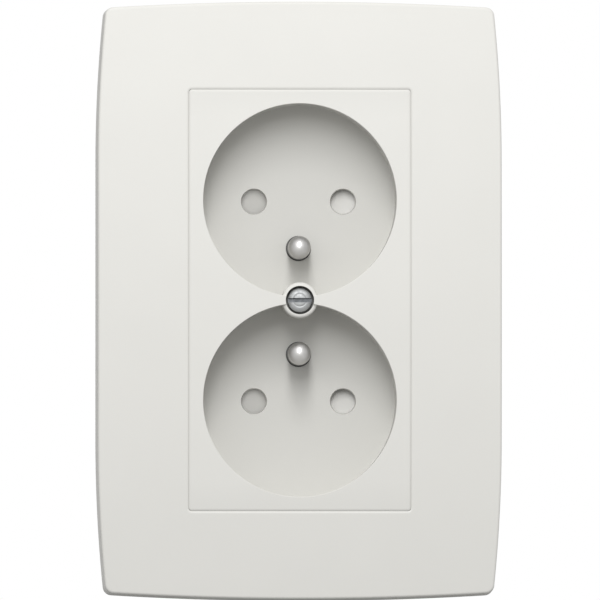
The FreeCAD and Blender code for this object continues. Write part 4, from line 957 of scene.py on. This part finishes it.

# %% [markdown]
# Some places are painted darker because of where they are, as painted shade. The walls and floors
# of a well are painted darker than the face, and the screw's narrow hole, out of which little light
# finds its way, is painted dark. Two masks tell a finish how deep a point lies, and how near it is
# to the screw.

# %% Masks for painted shade, by place
def deep_shade_part(finish, front, back):
    """0 where the surface stands over one height and 1 where it lies under another, in metres.
    It marks where shade is painted.
    """
    place = add_node(finish, "ShaderNodeTexCoord")
    split = add_node(finish, "ShaderNodeSeparateXYZ")
    join(finish, place.outputs["Object"], split.inputs["Vector"])
    return between(finish, split.outputs["Y"], 0.0, 1.0, -front, -back)


def both_parts(finish, first, second):
    """1 where both masks are 1."""
    both = add_node(finish, "ShaderNodeMath", operation="MULTIPLY")
    join(finish, first, both.inputs[0])
    join(finish, second, both.inputs[1])
    return both.outputs["Value"]


def screw_hole_shade_part(finish, radius, front):
    """1 in the hole of the central screw, where shade is painted: within a radius of its axis and
    under a height.
    """
    place = add_node(finish, "ShaderNodeTexCoord")
    flat = add_node(finish, "ShaderNodeVectorMath", operation="MULTIPLY")
    flat.inputs[1].default_value = (1, 0, 1)
    reach = add_node(finish, "ShaderNodeVectorMath", operation="LENGTH")
    join(finish, place.outputs["Object"], flat.inputs[0])
    join(finish, flat.outputs["Vector"], reach.inputs[0])
    inside = between(finish, reach.outputs["Value"], 1.0, 0.0, radius - 3e-5, radius + 3e-5)
    return both_parts(finish, inside, deep_shade_part(finish, front, front - 3e-4))


# The screw's hole is painted dark, as shade, within this radius.
print("the screw's hole is dark within, mm:", RECESS_RADIUS + 0.03)

# %% [markdown]
# ## Moulded plastic
#
# The white parts are a hard, almost matt plastic with a very fine eroded texture from the mould.
# The colour is nearly even. What the eye reads as plastic is the soft sheen, so the roughness
# varies a little over the surface. Edges are rubbed slightly paler. The walls and floors of the
# wells are painted darker than the face as painted shade, and the screw's hole is painted dark.

# %% Plastic finishes
WHITE = srgb(229, 228, 223)
# Painted shade: shares of the white for the walls and floors of the wells, and for the screw's
# hole.
WELL_WALL_SHADE = (0.0202, 0.018, 0.78)
WELL_FLOOR_SHADE = (0.0064, 0.006, 0.89)
SCREW_HOLE_SHADE = (0.00305, 0.0196)
HOLE_SHADE_SHARE = 0.28
CLOUD_SIZE = 0.018


def moulded_plastic(name, colour, roughness, grain_size, bump, worn, shade_zones=(), hole=None):
    """Plastic with an eroded texture. An edge is worn times as bright as the rest. Each zone of
    painted shade has two heights, and from one to the other the colour darkens to a share of
    itself. The screw's hole, given by its radius and a height, is painted dark as shade."""
    finish, shader = start_finish(name)
    cloud = grain(finish, CLOUD_SIZE, 2.0)
    edges = edge_mask(finish, 0.00025)
    darker = tuple(part * 0.985 for part in colour)
    brighter = tuple(min(part * worn, 1.0) for part in colour)
    body_colour = tint(finish, between(finish, cloud, 0.0, 1.0), darker, colour)
    # Painted shade in the wells, darker with depth.
    for front, back, share in shade_zones:
        shaded = tuple(part * share for part in colour)
        body_colour = blend(finish, deep_shade_part(finish, front, back), body_colour, shaded)
    body_colour = blend(finish, between(finish, edges, 0.0, 0.6, 0.0, 1.0), body_colour, brighter)
    # Painted shade in the screw's hole.
    if hole:
        dark = tuple(part * HOLE_SHADE_SHARE for part in colour)
        body_colour = blend(finish, screw_hole_shade_part(finish, *hole), body_colour, dark)
    join(finish, body_colour, shader.inputs["Base Color"])
    fine = grain(finish, grain_size, 3.0)
    sheen = between(finish, fine, roughness - 0.05, roughness + 0.05)
    join(finish, sheen, shader.inputs["Roughness"])
    raise_bumps(finish, shader, fine, bump)
    shader.inputs["IOR"].default_value = 1.5
    return finish


plastics = {
    "frame_plastic": moulded_plastic("white_frame", WHITE, 0.5, 0.00035, 6e-6, 1.03),
    "cover_plastic": moulded_plastic(
        "white_cover", WHITE, 0.5, 0.00035, 6e-6, 1.03, [WELL_WALL_SHADE, WELL_FLOOR_SHADE], SCREW_HOLE_SHADE
    ),
    "shutter_plastic": moulded_plastic(
        "pale_shutter", srgb(211, 210, 206), 0.45, 0.0005, 5e-6, 1.03
    ),
    "base_plastic": moulded_plastic("grey_base", srgb(196, 196, 192), 0.55, 0.0004, 1e-5, 1.08),
    "rear_plastic": moulded_plastic("dark_rear", srgb(78, 80, 82), 0.6, 0.0004, 1.2e-5, 1.25),
    "button_plastic": moulded_plastic(
        "orange_button", srgb(214, 98, 38), 0.42, 0.0004, 8e-6, 1.12
    ),
}
print("plastic finishes:", len(plastics))

# %% [markdown]
# ## Metals
#
# Pressed strip shows long rolling lines, and a plated pin or screw is a little cloudy. All of them
# are the same network with a pattern that is stretched in another way. Plating wears on the
# edges, which are then brighter. The pins are painted darker towards their roots, as painted shade
# and dark reflection, and the slot of the screw is painted dark at its bottom, as shade.

# %% Metal finishes
# Painted shade and dark reflection: the pins darken towards their roots.
PIN_ROOT_SHADE = (0.0174, 0.009, (0.12, 0.12, 0.118))
# Painted shade: the screw's slot darkens towards its bottom.
SLOT_BOTTOM_SHADE = (0.01935, 0.0192, (0.24, 0.25, 0.262))
EVEN = (1, 1, 1)
LINES_ACROSS = (0.05, 1, 1)
LINES_FORWARD = (1, 0.05, 1)
LINES_UP = (1, 1, 0.05)


def strip_metal(name, colour, worn, roughness, line_size, stretch, deep=None):
    """Bare or plated metal with lines of that size, drawn out along one way. Where deep is given,
    the colour is painted darker, as shade, from one height to another below it."""
    finish, shader = start_finish(name)
    lines = grain(finish, line_size, 4.0, stretch)
    cloud = grain(finish, 0.006, 3.0)
    edges = edge_mask(finish, 0.0002)
    duller = tuple(part * 0.82 for part in colour)
    plated = tint(finish, between(finish, cloud, 0.0, 1.0), duller, colour)
    body_colour = blend(finish, between(finish, edges, 0.0, 0.7, 0.0, 1.0), plated, worn)
    # Painted shade, darker towards the bottom.
    if deep:
        front, back, shade_colour = deep
        body_colour = blend(finish, deep_shade_part(finish, front, back), body_colour, shade_colour)
    join(finish, body_colour, shader.inputs["Base Color"])
    sheen = between(finish, lines, roughness - 0.08, roughness + 0.1)
    join(finish, sheen, shader.inputs["Roughness"])
    raise_bumps(finish, shader, lines, 3e-6)
    shader.inputs["Metallic"].default_value = 1.0
    return finish


metals = {
    "nickel": strip_metal(
        "satin_nickel", (0.72, 0.71, 0.7), (0.8, 0.79, 0.77), 0.43, 0.0006, EVEN, PIN_ROOT_SHADE
    ),
    "screw_steel": strip_metal(
        "zinc_screw", (0.5, 0.51, 0.515), (0.66, 0.67, 0.675), 0.58, 0.0006, EVEN, SLOT_BOTTOM_SHADE
    ),
    "zinc_steel": strip_metal(
        "zinc_strip", (0.58, 0.6, 0.62), (0.75, 0.76, 0.78), 0.38, 0.0004, LINES_ACROSS
    ),
    "spring_steel": strip_metal(
        "spring_strip", (0.5, 0.5, 0.51), (0.7, 0.7, 0.71), 0.3, 0.0003, LINES_FORWARD
    ),
    "contact_brass": strip_metal(
        "brass_strip", (0.72, 0.5, 0.22), (0.85, 0.65, 0.34), 0.33, 0.0004, LINES_UP
    ),
}
print("metal finishes:", len(metals))

# %% [markdown]
# Every solid takes the finish of its slot in the record, and the five fine pieces take theirs.

# %% Dress every piece
finishes = {**plastics, **metals}
slot_of = {part["node"]: part["material_slot"] for part in frame["record"]["subparts"]}
for name, node in frame["nodes"].items():
    node.data.materials.clear()
    node.data.materials.append(finishes[slot_of[name]])
for piece, node, slot in stand_ins:
    piece.data.materials.clear()
    piece.data.materials.append(finishes[slot])
print("pieces dressed:", len(frame["nodes"]) + len(stand_ins))

# %% [markdown]
# ## Floor, background and light
#
# The floor is a plain pale sheet just under the socket, and it takes the soft shadow. The camera
# looks from slightly below, so the floor is clear to it when seen from underneath. Light that is
# scattered by the socket meets it as a grey veil, which keeps the bottom edge from going black.

# %% Floor finish
FLOOR_COLOUR = (0.62, 0.62, 0.61, 1)
FLOOR_ROUGHNESS = 0.8
VEIL_COLOUR = (0.5, 0.5, 0.5, 1)
CLEAR_COLOUR = (1, 1, 1, 1)


def see_through(finish, colour):
    """A sheet that lets that share of each colour pass."""
    sheet = add_node(finish, "ShaderNodeBsdfTransparent")
    sheet.inputs["Color"].default_value = colour
    return sheet.outputs["BSDF"]


def choose(finish, mask, first, second):
    """One surface where the mask is 0, and another where it is 1."""
    mix = add_node(finish, "ShaderNodeMixShader")
    join(finish, mask, mix.inputs["Fac"])
    join(finish, first, mix.inputs[1])
    join(finish, second, mix.inputs[2])
    return mix.outputs["Shader"]


def floor_finish():
    """Pale and matt from above, clear to the camera from below, and a veil to scattered light."""
    finish, shader = start_finish("pale_floor")
    shader.inputs["Base Color"].default_value = FLOOR_COLOUR
    shader.inputs["Roughness"].default_value = FLOOR_ROUGHNESS
    rays = add_node(finish, "ShaderNodeLightPath")
    side = add_node(finish, "ShaderNodeNewGeometry")
    seen_below = both_parts(finish, rays.outputs["Is Camera Ray"], side.outputs["Backfacing"])
    veil = see_through(finish, VEIL_COLOUR)
    sheet = choose(finish, rays.outputs["Is Diffuse Ray"], shader.outputs["BSDF"], veil)
    seen = choose(finish, seen_below, sheet, see_through(finish, CLEAR_COLOUR))
    output = next(node for node in finish.node_tree.nodes if node.type == "OUTPUT_MATERIAL")
    join(finish, seen, output.inputs["Surface"])
    return finish


floor_look = floor_finish()
print("nodes in the floor's finish:", len(floor_look.node_tree.nodes))

# %% [markdown]
# The sheet itself is one large square. It lies a tenth of a millimetre under the socket, so the
# two never share a face, and it is marked as a part of the stage, so that the socket's box leaves
# it out.

# %% Floor sheet
FLOOR_HALF = 6.0
FLOOR_DROP = 0.0001


def pale_floor(height, finish):
    """A level square sheet at that height."""
    corners = np.array([(-1, -1), (1, -1), (1, 1), (-1, 1)]) * FLOOR_HALF
    mesh = bpy.data.meshes.new("floor")
    points = np.column_stack([corners, np.full(4, height)])
    mesh.from_pydata(points.tolist(), [], [(0, 1, 2, 3)])
    mesh.materials.append(finish)
    sheet = bpy.data.objects.new("floor", mesh)
    bpy.context.scene.collection.objects.link(sheet)
    return sheet


floor = pale_floor(cad_low.z - FLOOR_DROP, floor_look)
floor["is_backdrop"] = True
print("floor at, mm:", round(cad_low.z * 1000, 1))

# %% [markdown]
# The world is a white tent. To the camera it is pure white, like the sheet behind a product, and
# to everything else it is a dimmer even light that fills the shadows.

# %% World
TENT_LIGHT = 0.66


def white_world(light):
    """White to the camera, and an even light of that strength to everything else."""
    world = bpy.data.worlds.new("white_tent")
    world.use_nodes = True
    background = next(node for node in world.node_tree.nodes if node.type == "BACKGROUND")
    background.inputs["Color"].default_value = (1, 1, 1, 1)
    rays = world.node_tree.nodes.new("ShaderNodeLightPath")
    strength = world.node_tree.nodes.new("ShaderNodeMapRange")
    strength.inputs["To Min"].default_value = light
    world.node_tree.links.new(rays.outputs["Is Camera Ray"], strength.inputs["Value"])
    world.node_tree.links.new(strength.outputs["Result"], background.inputs["Strength"])
    return world


bpy.context.scene.world = white_world(TENT_LIGHT)
print("world:", bpy.context.scene.world.name)

# %% [markdown]
# The main light is a tall narrow striplight above the camera. Its height makes the long soft
# shadows under the rims and the pins, and its narrowness keeps them to the width of what casts
# them. It stands near enough to leave the top of the frame brighter than the bottom. A weak
# softbox from the left lifts that side.

# %% Lamps
def soft_lamp(name, place, width, tall, power):
    """An area lamp of that width and height that faces the middle of the socket."""
    light = bpy.data.lights.new(name, "AREA")
    light.shape = "RECTANGLE"
    light.size = width
    light.size_y = tall
    light.energy = power
    lamp = bpy.data.objects.new(name, light)
    lamp.location = place
    lamp.rotation_euler = (-place).to_track_quat("-Z", "Y").to_euler()
    lamp.visible_camera = False
    bpy.context.scene.collection.objects.link(lamp)
    print(f"{name}: {place.length:.2f} m away, {power} W")


soft_lamp("high_striplight", Vector((-0.025, -0.59, 0.33)), 0.12, 0.45, 2.36)
soft_lamp("left_softbox", Vector((-0.273, -0.586, 0.173)), 0.3, 0.3, 0.15)

# %% [markdown]
# ## Camera
#
# The picture was taken square on from far away, so nothing in it narrows with distance. A very
# long lens does the same. The floors of the wells lie a little down and to the left of their rims
# in the picture, so the camera stands slightly to the left and slightly below.

# %% Camera
PICTURE_WIDTH = 600 / 4.70 * MILLIMETRE
LENS = 1500.0
SENSOR = 36.0
FROM_LEFT = math.radians(1.25)
FROM_BELOW = math.radians(1.15)


def far_camera(target):
    """A long lens whose picture is as wide as the photograph's at the target."""
    distance = PICTURE_WIDTH * LENS / SENSOR
    away = Vector((
        -math.sin(FROM_LEFT) * math.cos(FROM_BELOW),
        -math.cos(FROM_LEFT) * math.cos(FROM_BELOW),
        -math.sin(FROM_BELOW),
    ))
    lens = bpy.data.cameras.new("far_camera")
    lens.lens = LENS
    lens.sensor_width = SENSOR
    lens.clip_start = 0.1
    lens.clip_end = 50
    camera = bpy.data.objects.new("far_camera", lens)
    camera.location = target + away * distance
    camera.rotation_mode = "QUATERNION"
    camera.rotation_quaternion = (-away).to_track_quat("-Z", "Y")
    bpy.context.scene.collection.objects.link(camera)
    return camera


camera = far_camera(Vector((0, -FRONT_HEIGHT * MILLIMETRE, 0)))
bpy.context.scene.camera = camera
bpy.context.scene.view_settings.view_transform = "Standard"
print("camera distance, m:", round(camera.location.length, 2))

# %% [markdown]
# ## Sizes
#
# The box of the dressed model is printed here, and the box of the solids was printed at the start.
# The dressed model has to stay inside the box of the solids.

# %% Print the dressed box
import json

low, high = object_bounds()
print("dressed box in mm:", [round(side * 1000, 2) for side in high - low])
